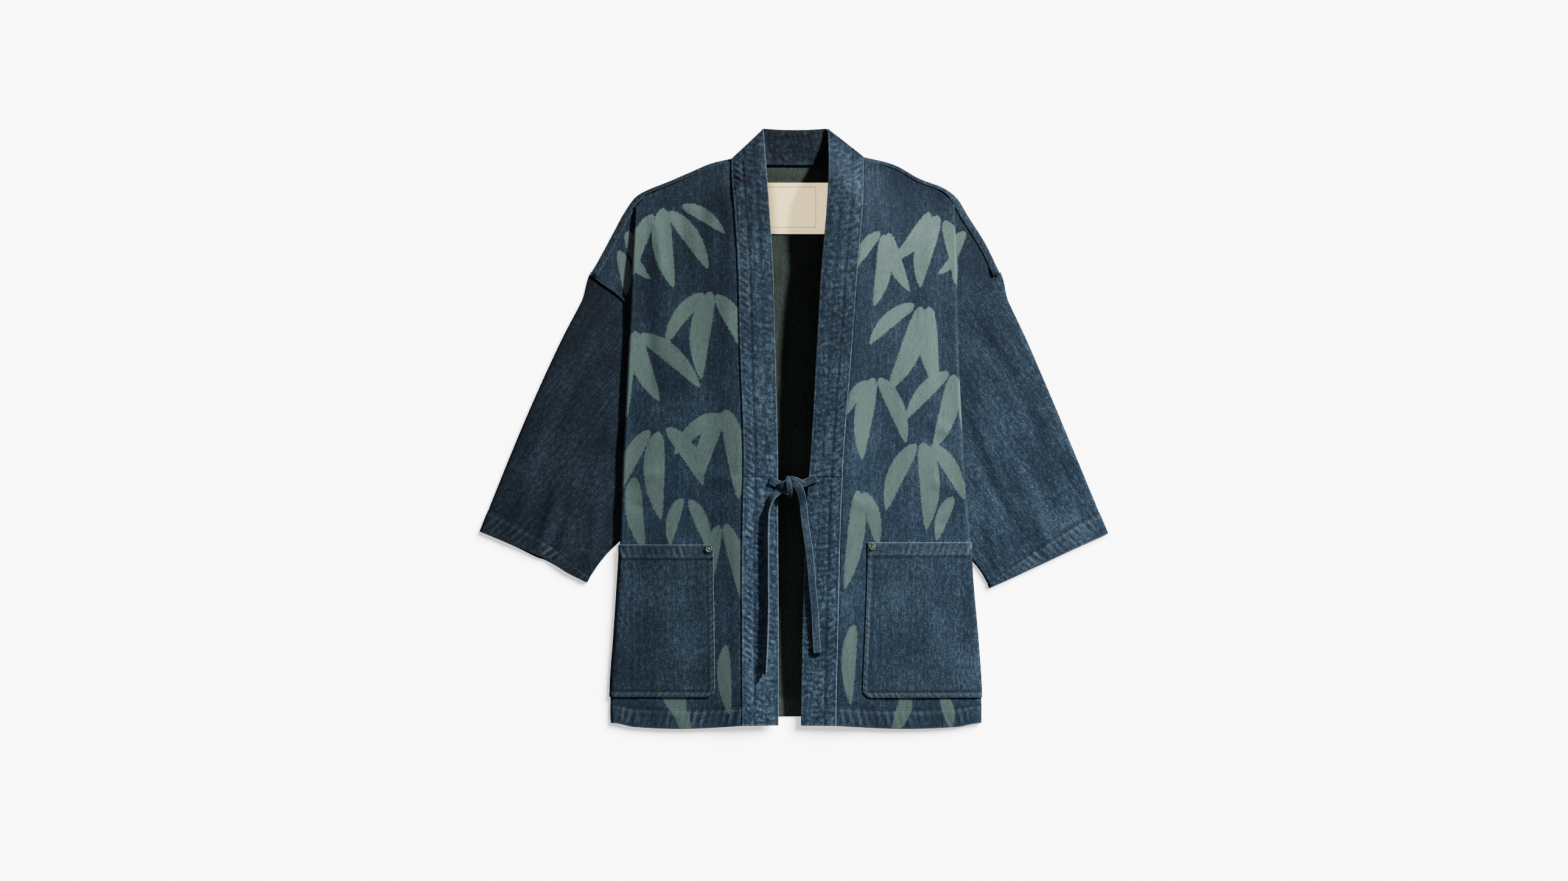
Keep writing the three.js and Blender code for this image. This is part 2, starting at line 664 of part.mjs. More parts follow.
function strip(rows) {
  const plan = new THREE.CatmullRomCurve3(rows.map(({ x, y }) => new THREE.Vector3(x, y, 0)));
  const tilts = new THREE.CatmullRomCurve3(rows.map(({ lift, tilt }, i) => new THREE.Vector3(lift, tilt, i)));
  const count = Math.ceil(plan.getLength() / TIE_STEP) + 2;
  const points = spread(count).map((t) => {
    const share = plan.getUtoTmapping(t);
    const { x: lift, y: tilt } = tilts.getPoint(share);
    const along = plan.getTangent(share);
    const spot = plan.getPoint(share);
    const angle = THREE.MathUtils.degToRad(tilt);
    const side = new THREE.Vector3(-along.y * Math.cos(angle), along.x * Math.cos(angle), Math.sin(angle));
    spot.z = tieBed(spot.x, spot.y) + TIE_THICK / 2 + lift;
    return spread(4, -0.5, 0.5).map((w) => spot.clone().addScaledVector(side, w * TIE_WIDTH));
  });
  return wall(points, { thick: TIE_THICK, flip: true });
}

// The knot: one strip wrapped over the other, pulled to a narrow waist
function knot() {
  const profile = spread(11, 0, Math.PI).map((a) => new THREE.Vector2(
    0.5 * Math.sin(a) * (1 - KNOT.waist * (1 + Math.cos(2 * a))),
    -0.5 * Math.cos(a)
  ));
  profile[0].x = 0;
  profile[profile.length - 1].x = 0;
  const geometry = new THREE.LatheGeometry(profile, 14);
  geometry.scale(KNOT.width, KNOT.length, KNOT.height);
  return geometry.translate(KNOT.x, KNOT.y, KNOT.z);
}

function backPlan() {
  const half = (side) => {
    const edge = shoulderEdge[side].filter((point) => point.x > SHOULDER_NECK);
    const seam = SEAM_SHARES.map((share) => armhole(side, share, 2 * GAP + 1.5 * share ** 6));
    const foot = seam[seam.length - 1].y;
    const flank = spread(7, foot - 20, BACK_HEM).map((y) => {
      return new THREE.Vector2(foldAt[side](y) - tuckAt(y) - GAP, y);
    });
    return [new THREE.Vector2(SHOULDER_NECK - 6, BACK_NECK), ...edge, ...seam, ...flank]
      .map((point) => new THREE.Vector2(SIDES[side] * point.x, point.y));
  };
  return [...half('left'), ...half('right').reverse()];
}

function finish(color, roughness, metalness = 0) {
  return new THREE.MeshStandardMaterial({ color, roughness, metalness });
}

const denim = () => finish(DENIM_COLOUR, 0.9);
const denimInside = () => finish(INSIDE_COLOUR, 0.92);
const labelCotton = () => finish(LABEL_COLOUR, 0.75);
const agedCopper = () => finish(RIVET_COLOUR, 0.55, 0.8);

const group = new THREE.Group();

function add(name, geometry, material) {
  const mesh = new THREE.Mesh(geometry, material);
  mesh.name = name;
  group.add(mesh);
}

add('back_panel', plate(backPlan(), 0, DENIM), denimInside());
for (const side of ['left', 'right']) {
  const front = frontWall(side);
  const lower = { from: BAND_SEAM - GAP, outer: BAND_FOOT, inner: BAND_FOOT };
  const upper = { from: BAND_SEAM, outer: shoulderEdge[side][0].y, inner: NECK_BAND_TOP };
  add(`front_${side}`, joined(front.geometry, shoulderCap(side)), denim());
  add(`sleeve_${side}`, sleeve(side).geometry, denim());
  add(`band_${side}_upper`, bandWall(side, upper, 15).geometry, denim());
  add(`band_${side}_lower`, bandWall(side, lower, 11).geometry, denim());
  add(`shoulder_seam_${side}`, shoulderStrip(side).geometry, denim());
  add(`armhole_seam_${side}`, armholeStrip(side).geometry, denim());
  add(`pocket_${side}`, pocket(side, front).geometry, denim());
  add(`rivet_${side}`, rivet(side, front), agedCopper());
}
add('band_neck', neckBand().geometry, denim());
const labelCorners = [
  [LABEL.left, LABEL.bottom], [LABEL.right, LABEL.bottom], [LABEL.right, LABEL.top], [LABEL.left, LABEL.top]
].map(([x, y]) => new THREE.Vector2(x, y));
add('neck_label', plate(labelCorners, LAID, LABEL_THICK), labelCotton());
for (const [name, rows] of Object.entries(TIES)) add(name, strip(rows).geometry, denim());
add('tie_knot', knot(), denim());

export default group;
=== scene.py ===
"""A denim kimono jacket laid out flat on a pale floor, seen straight from above.

Lengths in the tables are millimetres. Left and right are as seen from above, and distances from the
middle line are positive on both sides: a left piece is built on the right and mirrored."""

import math

import bpy
import numpy as np
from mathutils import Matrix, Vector


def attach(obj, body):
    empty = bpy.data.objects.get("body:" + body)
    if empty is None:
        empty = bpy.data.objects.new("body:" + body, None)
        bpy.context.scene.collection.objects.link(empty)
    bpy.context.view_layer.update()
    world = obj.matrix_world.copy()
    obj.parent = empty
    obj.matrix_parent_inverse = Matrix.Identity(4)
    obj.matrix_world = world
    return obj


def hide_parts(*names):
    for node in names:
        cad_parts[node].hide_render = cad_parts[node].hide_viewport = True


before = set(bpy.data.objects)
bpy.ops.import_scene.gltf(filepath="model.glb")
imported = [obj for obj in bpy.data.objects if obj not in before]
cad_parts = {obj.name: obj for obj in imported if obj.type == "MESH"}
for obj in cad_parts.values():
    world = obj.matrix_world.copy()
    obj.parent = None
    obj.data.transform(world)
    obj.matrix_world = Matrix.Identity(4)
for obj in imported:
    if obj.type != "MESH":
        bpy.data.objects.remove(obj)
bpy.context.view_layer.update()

MM = 0.001
SIDES = {"left": -1, "right": 1}

# Cloth and sewing
DENIM = 1.6
GAP = 0.3
BAND_THICK = 3.0
LABEL_THICK = 1.0
EDGE_THIN = 0.35
FELL_WIDTH = 8.0
FELL_THICK = 1.6
FELL_SHOWS = 4.8
FELL_SLANT = 0.7
FELL_ROWS = (0.2, 0.78)
SHOULDER_POINTS = 90
ARMHOLE_ROWS = (1.4, 6.6)
ARMHOLE_SHOWS = (-0.012, 0.15)
BODY_HEM = 25.0
HEM_SAG = 4.5
HEM_LIFT = 3.0
CUFF_HEM = 25.0
POCKET_HEM = 19.0
HEM_RAISE = 0.5
# dark: how much darker the stitched row and the ripple hollows are, for unrubbed dye and painted shade.
HEMS = {
    "body": {"depth": BODY_HEM, "pitch": (9.5, 8.5), "slant": (0.25, 0.2), "dark": (0.55, 0.42), "seed": 21},
    "cuff": {"depth": CUFF_HEM, "pitch": (9.0, 8.0), "slant": (0.25, 0.3), "dark": (0.5, 0.45), "seed": 31},
}
BAND_WIDTH = 47.0
BAND_ROWS = (2.7, 16.0, 30.5, 44.0)
QUILT_RAISE = 0.7

# The band's channels between its rows of stitches. Columns: pitch of the puckers, slant, strength
CHANNELS = ((8.6, 0.75, 0.3), (8.6, 0.75, 1.0), (7.4, 0.25, 0.55), (7.9, 0.3, 0.6), (9.0, 0.5, 0.3))
BAND_SEAM = -66.0
BAND_FOOT = -397.0
BAND_PROUD = 1.2
BAND_LAP = {"over": 1.3, "in": 1.6, "down": 1.5}
FRONT_ACROSS = 170.0

# A stitch's rings. Columns: share of its length, size, how high it lies
STITCH_RINGS = ((-0.5, 0.3, -0.9), (-0.28, 0.9, 0.0), (0.28, 0.9, 0.0), (0.5, 0.3, -0.9))
STITCH_SIDES = 5
STITCH_FLAT = 0.8

# The back and the neck
BACK_NECK = 351.0
BACK_HEM = -385.6
NECK_BAND_TOP = 399.0
NECK_CORNER = 42.0
NECK_DIP = 2.0
NECK_BAND_UNDER = 3.8
SHOULDER_NECK = 86.0
SHOULDER_POINT = 212.0
LABEL = {"left": -50.0, "right": 56.0, "bottom": 258.0, "top": 326.5}
LABEL_FRAME = {"left": -42.0, "right": 27.6, "bottom": 267.0, "top": 320.7, "line": 0.7}

# Heights where the upper layers come down to a seam
LAID = DENIM + GAP
SEAM_TOP = 4.4
CORNER_TOP = 8.5
SHOULDER_RISE = 95.0
CORNER_RISE = 62.0
CORNER_BLEND = 40.0
OPENING_BULGE = 1.3
ROLL_BLEND = 0.2
BAND_LEAN = {"outer": 5.5, "inner": 0.0, "fade": 48.0}
COLLAR_STAND = {"outer": 4.0, "inner": 12.0, "from": 225.0, "to": 325.0}
ROLL_CLIMB = 55.0
ROLL_PAST = 6.0
SLEEVE_LOW = 4.2
SLEEVE_HIGH = 8.2

# Columns: y, rolled side, outer edge of the band, inner edge of the band
BODY = {
    "left": (
        (-400, 245, 70.6, 21.8),
        (-348, 246, 70.7, 21.8),
        (-277, 241, 70.8, 21.9),
        (-209, 236.5, 71, 22),
        (-154, 233, 70.6, 22.4),
        (-105, 231.4, 69.8, 22.7),
        (-30, 228.4, 68.7, 23),
        (116, 221.2, 73.8, 26.6),
        (208, 217.3, 76, 29),
        (287, 213, 80.6, 33.7),
        (346, 211, 84.6, 38),
        (400, 211, 86, 42),
    ),
    "right": (
        (-400, 248.5, 54.8, 7.7),
        (-348, 248.2, 55.4, 8.5),
        (-277, 243.2, 57.2, 9.7),
        (-209, 237, 58.7, 12),
        (-154, 233.5, 59.8, 13.6),
        (-105, 229.4, 61.5, 15.2),
        (-30, 224, 64.9, 21),
        (116, 217.2, 76.3, 29.2),
        (208, 215.4, 82.7, 34.4),
        (287, 213, 89.6, 41.4),
        (346, 212, 91.5, 44.3),
        (400, 212, 92, 43.3),
    ),
}

# Columns: y, height at the rolled side, height at the opening, how far the roll tucks in
HEIGHTS = (
    (-400, 11, 15, 14),
    (-348, 12, 17.5, 14),
    (-277, 12.5, 20.5, 14),
    (-209, 14, 23.5, 16),
    (-154, 16, 26.5, 21),
    (-105, 16.5, 29, 28),
    (-30, 16.5, 32, 33),
    (80, 16, 35, 26),
    (128, 14.5, 35.5, 16),
    (208, 12, 34, 12),
    (287, 8.2, 29, 9),
    (346, 7.5, 24, 7),
    (400, 7.5, 20, 7),
)

# Columns: y, height on which the roll rests
ROLL_REST = ((-60, 8.6), (60, 8.6), (116, 7.9), (159, 5.8), (230, 4.4), (300, 3.9))
TUCK_SINKS = (145, 165)

# Columns: x, y, from the neck over the shoulder point to the armhole seam
SHOULDER = {
    "left": (
        (86, 358.4), (114, 351.5), (142, 339.6), (170, 327.5), (195, 317.6),
        (212, 308), (228, 286), (241, 262), (262, 223), (272.2, 205.4),
    ),
    "right": (
        (90, 361), (132, 350.5), (166, 332), (199, 319), (216, 306),
        (231, 282), (254, 245.5), (272.5, 207.5),
    ),
}

# Columns: y, how far the armhole seam lies inside the rolled side
ARMHOLE = (
    (203.4, -54.6), (190, -36), (176, -16), (159, 0), (128, 15),
    (80, 25.5), (20, 32), (-50, 33), (-100, 29), (-132, 24),
)
UNDERARM = {"left": (-150, 1.0), "right": (-188, 1.2)}
ARMHOLE_REACH = {"left": 1.0, "right": 1.07}
CAP_UNDER = 17.0
CAP_SHARE = 0.15
CAP_CLOTH = 12.0

# Columns: share of the way across, x, y, how far the lower layer shows past the upper
CUFF = {
    "left": (
        (0, 420.3, -138.8, 0), (0.33, 373.5, -158, 1), (0.5, 346, -169.5, 3),
        (0.63, 331, -176, 2), (0.82, 305, -193, 0), (1, 277, -207.2, 0),
    ),
    "right": (
        (0, 417.9, -141.5, 0), (0.33, 365, -165.5, 0), (0.5, 338.5, -178, 0),
        (0.63, 318, -187.5, 0), (0.82, 288, -201.5, 0), (1, 259.2, -214.4, 0),
    ),
}
SLEEVE_BULGE = {"left": 6.0, "right": 2.5}
UNDERARM_BULGE = 7.0
SLEEVE_LINE = (0.4, 0.92)
SLEEVE_LENGTH = 300.0
SLEEVE_OPENS = {"along": 1.6, "across": 1.1, "from": 0.05, "to": 0.45}

# Folds and creases, as ridges along a line. Columns: x0, y0, x1, y1, half width, height
CREASE_DEPTH = {"front": 2.0, "sleeve": 2.8}
FRONT_FOLDS = {
    "left": (
        (200, 250, 150, 40, 24, 2.2),
        (122, 300, 108, 60, 24, 1.6),
        (168, -20, 160, -380, 28, 1.8),
        (112, 20, 104, -130, 22, 1.1),
        (210, 60, 203, -130, 22, 1.2),
    ),
    "right": (
        (196, 265, 158, 90, 24, 2),
        (130, 300, 118, 20, 24, 1.6),
        (176, 30, 170, -380, 28, 1.7),
        (110, -10, 100, -140, 22, 1.2),
        (208, 100, 204, -130, 22, 1),
    ),
}
FRONT_CREASES = {
    "left": (
        (190, 292, 176, 196, 8, 0.8),
        (152, 300, 146, 214, 9, -0.6),
        (101, 322, 96, 168, 9, -0.7),
        (92, 240, 88, 96, 8, 0.5),
        (218, 6, 176, 34, 8, 0.7),
        (222, -72, 178, -58, 8, 0.8),
        (222, -104, 190, -106, 7, -0.5),
        (76, -74, 132, -58, 9, 0.7),
        (76, -98, 124, -114, 8, 0.5),
        (90, -160, 88, -330, 8, -0.6),
        (196, 150, 186, 20, 10, -0.6),
        (140, 120, 132, -40, 12, 0.6),
        (78, -340, 132, -384, 9, 0.5),
        (214, -362, 150, -386, 9, 0.5),
    ),
    "right": (
        (186, 286, 178, 204, 9, 0.7),
        (146, 304, 140, 220, 8, -0.6),
        (104, 318, 98, 180, 9, -0.6),
        (216, -14, 168, 16, 8, 0.8),
        (220, -88, 180, -70, 8, 0.7),
        (220, -126, 186, -130, 7, -0.5),
        (70, -70, 118, -54, 8, 0.7),
        (68, -92, 110, -112, 9, 0.6),
        (80, -170, 76, -340, 8, -0.5),
        (200, 160, 190, 40, 9, -0.6),
        (150, 110, 138, -30, 12, 0.6),
        (70, -352, 128, -388, 9, 0.5),
        (216, -370, 160, -390, 9, 0.4),
    ),
}
SLEEVE_FOLDS = {
    "left": (
        (230, 60, 352, -172, 15, 1.7),
        (240, -60, 300, -190, 12, 1.4),
        (272, 130, 388, -120, 14, 1),
    ),
    "right": (
        (228, 80, 340, -176, 14, 1.5),
        (240, -40, 292, -196, 12, 1.3),
        (276, 120, 384, -130, 15, 1),
    ),
}
SLEEVE_CREASES = {
    "left": (
        (248, 176, 300, 60, 8, 0.7),
        (280, 90, 346, -60, 9, -0.8),
        (238, 10, 282, -96, 8, 0.8),
        (250, -30, 306, -128, 9, -0.7),
        (300, -90, 332, -182, 7, -1.0),
        (316, -80, 344, -176, 6, 0.8),
        (350, -70, 384, -158, 9, 0.6),
        (262, -110, 276, -186, 7, 0.6),
    ),
    "right": (
        (246, 172, 296, 66, 9, 0.7),
        (272, 110, 336, -40, 9, -0.7),
        (236, 20, 280, -90, 8, 0.8),
        (244, -44, 290, -130, 8, -0.6),
        (300, -60, 340, -160, 10, 0.6),
        (346, -30, 386, -132, 9, -0.5),
        (256, -120, 272, -196, 7, 0.6),
        (322, -110, 338, -176, 7, 0.4),
    ),
}
BACK_CREASES = (
    (-46, 343, 24, 334, 5, 0.9),
    (-60, 226, 52, 190, 14, 0.7),
    (-58, 96, 8, 28, 9, 1.1),
    (-40, 20, 44, -60, 12, 0.8),
    (-30, -180, 26, -250, 14, 0.8),
    (40, 250, 20, 60, 12, 0.6),
    (-150, 120, -110, -200, 20, 1.0),
    (150, 160, 120, -160, 20, 1.0),
)

# Pockets. Columns of inner: y, x of the inner edge
POCKET = {
    "left": {
        "top": -155.7, "foot": -359.0,
        "inner": ((-360, 106), (-333, 106), (-221, 107.4), (-155, 108)),
    },
    "right": {
        "top": -152.5, "foot": -359.8,
        "inner": ((-360, 89), (-277, 92.7), (-202, 95.5), (-152, 96.5)),
    },
}
POCKET_CORNER = 13.0
POCKET_TURN = math.radians(72)
POCKET_ROWS = (1.8, 8.0)
RIVET = {"radius": 4.65, "height": 1.5, "left": (114.5, -161.3), "right": (102.6, -158.5)}

# Ties. Columns: x, y, lift, tilt in degrees
TIE_WIDTH = 10.0
TIE_THICK = 2.4
TIE_STITCH = 1.6
TIE_CLOTH_AT = 400
TIES = {
    "tie_lead_left": (
        (-33.5, -69.5, 0, 0), (-29.5, -71.5, 0, 0), (-25.5, -73.5, 0, 0), (-20, -75.7, 0, 0),
    ),
    "tie_lead_right": (
        (29, -67, 0, 0), (22, -69.5, 0, 0), (14.5, -73, 0, 0), (7.3, -75.8, 0, 0),
    ),
    "tie_tail_left": (
        (-18, -82.4, 1.5, 20), (-29, -91.4, 3, 40), (-35.8, -107, 3, 55), (-37.4, -125, 3, 57),
        (-37.6, -154, 3, 57), (-37.6, -209, 3, 57), (-37.5, -243, 3, 57), (-39, -293, 3, 57),
        (-40.8, -327.5, 3, 57),
    ),
    "tie_tail_right": (
        (7.6, -89, 0, 0), (10.8, -102, 0.6, 0), (12.5, -120, 0.3, 0), (16.4, -147, 0, 0),
        (19.6, -170, 0, 0), (23, -209, 0, 0), (26.3, -243, 0, 0), (27.9, -276, 0, 0),
        (29.6, -301, 0, 0),
    ),
}

# The knot's strips, each with its width first. Columns: x, y, z, and the direction of the strip's width
KNOT_CENTRE = (-6.5, -77.0, 34.0)
KNOT_HALF = (10, 11, 4)
KNOT_STRIPS = {
    "wrap": (9.5, (
        (-9.6, -64.6, 33.5, 0.3, 0.1, 0.1), (-9.2, -67.5, 38.5, 0.55, 0.05, 0.1),
        (-8, -74, 42.2, 0.75, 0, 0), (-7, -84, 41.4, 0.75, 0, 0), (-7, -90.5, 38, 0.55, -0.1, 0),
        (-8, -93.6, 34.4, 0.3, -0.15, 0),
    )),
    "left_fold": (15, (
        (-26, -79.6, 31.5, 0, 0.4, 0.15), (-22, -79.4, 35, 0, 0.62, 0.15), (-16, -79, 38.4, 0, 1.05, 0.05),
        (-10, -79, 39.8, 0, 1.4, 0), (-5, -79.6, 38, 0, 1.3, 0),
    )),
    "cross": (8, (
        (-11, -69.4, 36, 0.3, 0.9, 0.1), (-5, -68.8, 38.6, 0.2, 1, 0.05), (2, -70.2, 39.6, 0.3, 0.95, 0),
        (8.5, -73.4, 38.2, 0.45, 0.85, 0), (13, -76, 36.2, 0.45, 0.85, 0),
    )),
}

# Where a tail starts over the knot. Columns: x, y, z, and the direction of its width
TAIL_HEADS = {
    "tie_tail_right": (
        (-6, -72.6, 39, 0.3, 0.95, 0), (-1, -73.6, 41.4, 0.6, 0.8, 0), (4.6, -79.4, 41, 0.95, 0.4, 0),
        (8.2, -88, 38.6, 1, 0.25, 0),
    ),
}

# How long and how full a painted leaf is, against the length and width in its row. On the stroke, each
# leaf's place across lies apart from the last one's, so that their bristle marks differ
LEAF_LONG = 1.12
LEAF_FULL = 1.235
LEAF_APART = 40

# Painted leaves. Columns: x and y of the leaf's base, direction in degrees, length, width, bend
LEAVES = {
    "left": (
        (176, 292, 262, 96, 25, 7), (168, 288, 236, 84, 21, -6), (190, 284, 288, 78, 20, 6),
        (150, 296, 214, 62, 16, -5),
        (104, 176, 244, 92, 23, -7), (112, 180, 276, 104, 26, 8), (122, 178, 306, 76, 19, 7),
        (214, 128, 250, 88, 24, 6), (206, 124, 222, 96, 22, -8), (221, 116, 272, 92, 21, 4),
        (96, 20, 288, 86, 22, 7), (92, 24, 262, 108, 25, -6), (104, 18, 316, 70, 18, 6),
        (182, -6, 268, 104, 26, 7), (170, 0, 238, 82, 21, -7), (194, -4, 296, 84, 20, 6),
        (92, -128, 258, 94, 20, -5), (101, -130, 280, 118, 22, 6),
        (214, -66, 262, 88, 22, 6), (140, -96, 250, 62, 17, -5), (150, -94, 284, 58, 16, 5),
        (92, -290, 266, 84, 17, 5), (176, -352, 236, 60, 18, -4), (150, -358, 268, 44, 15, 3),
        (236, 262, 236, 70, 18, 6), (246, 236, 262, 54, 15, -4),
    ),
    "right": (
        (190, 282, 256, 88, 24, -7), (180, 286, 232, 74, 19, 6), (200, 276, 282, 92, 22, 6),
        (118, 256, 262, 86, 20, 6), (124, 258, 290, 74, 18, -5), (112, 260, 236, 58, 15, -4),
        (168, 160, 248, 108, 26, 8), (178, 160, 276, 96, 24, -6), (158, 164, 222, 72, 18, -6),
        (212, 70, 254, 92, 23, 6), (204, 74, 228, 76, 19, -6), (220, 64, 276, 88, 20, 4),
        (104, 66, 262, 98, 23, -6), (112, 66, 292, 84, 20, 6), (96, 62, 238, 48, 14, -4),
        (160, -22, 246, 86, 22, -7), (170, -20, 272, 104, 25, 7), (182, -22, 300, 76, 19, 6),
        (84, -84, 262, 118, 21, 5), (92, -86, 284, 66, 17, 4),
        (210, -92, 250, 56, 16, -4), (78, -262, 268, 96, 18, -5),
        (150, -350, 250, 56, 18, 4), (196, -356, 284, 42, 15, 3),
        (238, 262, 250, 66, 18, -6), (228, 246, 228, 50, 14, 4),
    ),
}

# The cut of the cloth that shows. Columns: CAD node, nodes sewn on it that aren't sheets, width and length
# in metres, area in square metres where the cut isn't a rectangle, what it lies on
CUT = (
    ("back_panel", (), (0.544, 0.737), 0.315, ()),
    ("neck_label", (), (0.106, 0.0685), None, ("back_panel",)),
    ("band_neck", (), (0.156, 0.05), 0.006, ("back_panel",)),
    (
        "front_{side}", ("shoulder_seam_{side}", "armhole_seam_{side}"), (0.23, 0.754), 0.138,
        ("back_panel",),
    ),
    ("sleeve_{side}", (), (0.71, 0.3), 0.114, ()),
    ("band_{side}_lower", (), (0.047, 0.331), None, ("back_panel",)),
    ("band_{side}_upper", (), (0.047, 0.465), None, ("back_panel",)),
    ("pocket_left", (), (0.141, 0.2035), None, ("front_left",)),
    ("pocket_right", (), (0.16, 0.2075), None, ("front_right",)),
    ("tie_lead_{side}", (), (0.01, 0.022), None, ("band_{side}_upper",)),
    ("tie_tail_{side}", (), (0.01, 0.25), None, ("band_{side}_lower",)),
    ("tie_knot", (), (0.0105, 0.16), None, ("back_panel",)),
)

COLOURS = {
    "indigo_dark": "#101c28", "indigo": "#2a4056", "indigo_pale": "#728da2",
    "inside_dark": "#222b22", "inside": "#4a584b", "inside_pale": "#7c8c78",
    "worn": "#8fa5b4", "paint": "#6a817b", "thread": "#1d2a39", "thread_pale": "#465a6c",
    "label": "#ffe4a4", "label_line": "#2f5a42", "label_thread": "#94703f",
    "patina": "#8fb8a4", "patina_dark": "#3a4f45", "copper": "#5a4334",
    "floor": "#f4f4f4",
}

# The photograph's frame, in metres
FRAME_CENTRE = (-0.0146, -0.0173)
FRAME_WIDTH = 2.0917
LENS = 100
SENSOR = 36

# Lamps, in metres. Columns: name, kind, place, target, power, size or angle, the collection it lights
LAMPS = (
    ("key", "AREA", (1.60, 1.49, 1.11), (0, 0.1, 0), 120, 0.2, "garment"),
    ("floor light", "SUN", (0.75, 0.75, 0.92), (0, 0, 0), 44, math.radians(36), "stage"),
    ("label fill", "AREA", (-0.3, 0.5, 1.3), (0, 0.29, 0), 30, 0.5, "label"),
)
ROOM_LIGHT = 0.13
FLOOR_REACH = 30

# How pale each piece is. For the bands this is their dye and wash, and the neck band is made much darker.
# The sleeves and pockets get their dye and wash, and the left ones also a darker tone that is painted shade,
# on the side away from the key.
SLEEVE_TONE_AND_SHADE = {"left": 0.56, "right": 0.98}
POCKET_TONE_AND_SHADE = {"left": 0.86, "right": 0.97}
BAND_TONE = {"left": 1.5, "right": 1.28, "upper": 1.15}
NECK_BAND_TONE = 0.52

# Patterns in the denim, warp and slubs first. Columns: size across and along the warp, detail, strength
WEAVE = (
    ((0.8, 2.4), 2, 1.15),
    ((1.6, 1.8), 2, 0.6),
    ((1.1, 16), 2, 0.6),
    ((3.6, 7), 2, 0.7),
    ((5, 150), 2, 0.35),
    ((60, 90), 3, 0.6),
)
BLOTCHES = ((8.0, 6.0), 3)
GRAIN_DEPTH = 0.3
BLOTCH_DEPTH = 1.8

# Real twill lines are about 0.5 mm apart, too fine to show, so they are drawn coarser
TWILL_PITCH = 0.95
TWILL_LEAN = (0.87, 0.5)
TWILL_SHARE = 0.05
TWILL_HEIGHT = 0.35

# Other patterns: sizes in millimetres, coarser than the real thread and weave so that they show
PAINT_EDGE = (3.2, 2.2)
PAINT_ENDS = (4.1, 5.2)
PAINT_DRIES = {"From Min": 0.65, "From Max": 1.15, "To Min": 0.5, "To Max": 0.94}
EDGE_RAGGED = {"rough": 4.6, "bristle": 3.0, "grain": 1.4}
BRISTLE_RUN = 0.035
BRISTLE_SCALE = 0.9
BRISTLE_SHOWS = 1.1
THREAD_TWIST = 1.11
LABEL_WEAVE = (0.6, 0.6)
PATINA_SPOT = 2.38
PATINA_DEPTH = 0.3

# Sockets of a node that mixes two colours
SHARE, FIRST, SECOND = 0, 6, 7


def lerp(a, b, t):
    return a + (b - a) * t


def smooth(value, low, high):
    t = np.clip((np.asarray(value, float) - low) / (high - low), 0, 1)
    return t * t * (3 - 2 * t)


def spline(rows, column):
    """A smooth curve through a column of a table against its first column, level past its ends."""
    points = np.array(sorted((row[0], row[column]) for row in rows), float)
    xs, ys = points.T
    slopes = np.empty_like(ys)
    slopes[1:-1] = (ys[2:] - ys[:-2]) / (xs[2:] - xs[:-2])
    slopes[0] = (ys[1] - ys[0]) / (xs[1] - xs[0])
    slopes[-1] = (ys[-1] - ys[-2]) / (xs[-1] - xs[-2])

    def at(value):
        value = np.clip(value, xs[0], xs[-1])
        i = np.clip(np.searchsorted(xs, value) - 1, 0, len(xs) - 2)
        step = xs[i + 1] - xs[i]
        t = (value - xs[i]) / step
        start = ys[i] * (1 + 2 * t) * (1 - t) ** 2 + slopes[i] * step * t * (1 - t) ** 2
        return start + ys[i + 1] * t * t * (3 - 2 * t) + slopes[i + 1] * step * t * t * (t - 1)

    return at


def curve_through(points, per_span=24):
    """A smooth curve through points, as a dense line, that doesn't loop where they are uneven."""
    given = np.array(points, float)
    ends = np.vstack([2 * given[0] - given[1], given, 2 * given[-1] - given[-2]])
    t = np.linspace(0, 1, per_span, endpoint=False)[:, None]
    line = []
    for a, b, c, d in zip(ends, ends[1:], ends[2:], ends[3:]):
        ab, bc, cd = (math.sqrt(np.linalg.norm(step)) for step in (b - a, c - b, d - c))
        leave = ((b - a) / ab - (c - a) / (ab + bc) + (c - b) / bc) * bc
        arrive = ((c - b) / bc - (d - b) / (bc + cd) + (d - c) / cd) * bc
        here = b * (1 + 2 * t) * (1 - t) ** 2 + leave * t * (1 - t) ** 2
        line.append(here + c * t * t * (3 - 2 * t) + arrive * t * t * (t - 1))
    return np.vstack([*line, given[-1:]])


def along(line):
    """Distance along a line at each of its points."""
    steps = np.linalg.norm(np.diff(line, axis=0), axis=1)
    return np.concatenate([[0], np.cumsum(steps)])


def evenly(line, count):
    """A line's points, evenly spaced."""
    reach = along(line[:, :3])
    want = np.linspace(0, reach[-1], count)
    return np.stack([np.interp(want, reach, column) for column in line.T], axis=1)


def samples(count, span, close=(0.5, 1.3)):
    """Shares from 0 to 1, even but closer at both ends. span is the length that they divide."""
    near = np.array(close) / span
    inner = np.linspace(0, 1, count)
    inner = inner[(inner > 1.5 * near[-1]) & (inner < 1 - 1.5 * near[-1])]
    return np.concatenate([[0], near, inner, 1 - near[::-1], [1]])


def index_at(wanted, values):
    """Where a value lies among rising or falling ones, as an index that may lie between two."""
    order = np.arange(len(values))
    if values[0] > values[-1]:
        return np.interp(wanted, values[::-1], order[::-1])
    return np.interp(wanted, values, order)


def wander(value, seed):
    """A smooth irregular wave between about -1 and 1."""
    phases = np.random.default_rng(seed).uniform(0, 2 * math.pi, 4)
    value = np.asarray(value, float)
    rates = (1.0, 1.73, 2.71, 0.41)
    shares = (0.4, 0.3, 0.2, 0.35)
    return sum(share * np.sin(rate * value + phase) for rate, share, phase in zip(rates, shares, phases))


def rope(length, across, pitch, slant, seed):
    """Slanted ripples of a stitched edge, uneven in spacing and depth, between -1 and 1."""
    phase = (length + slant * across) / pitch + 0.33 * wander(length / 19, seed)
    depth = 0.55 + 0.45 * wander(length / 12, seed + 1)
    return np.sin(2 * math.pi * phase) * depth


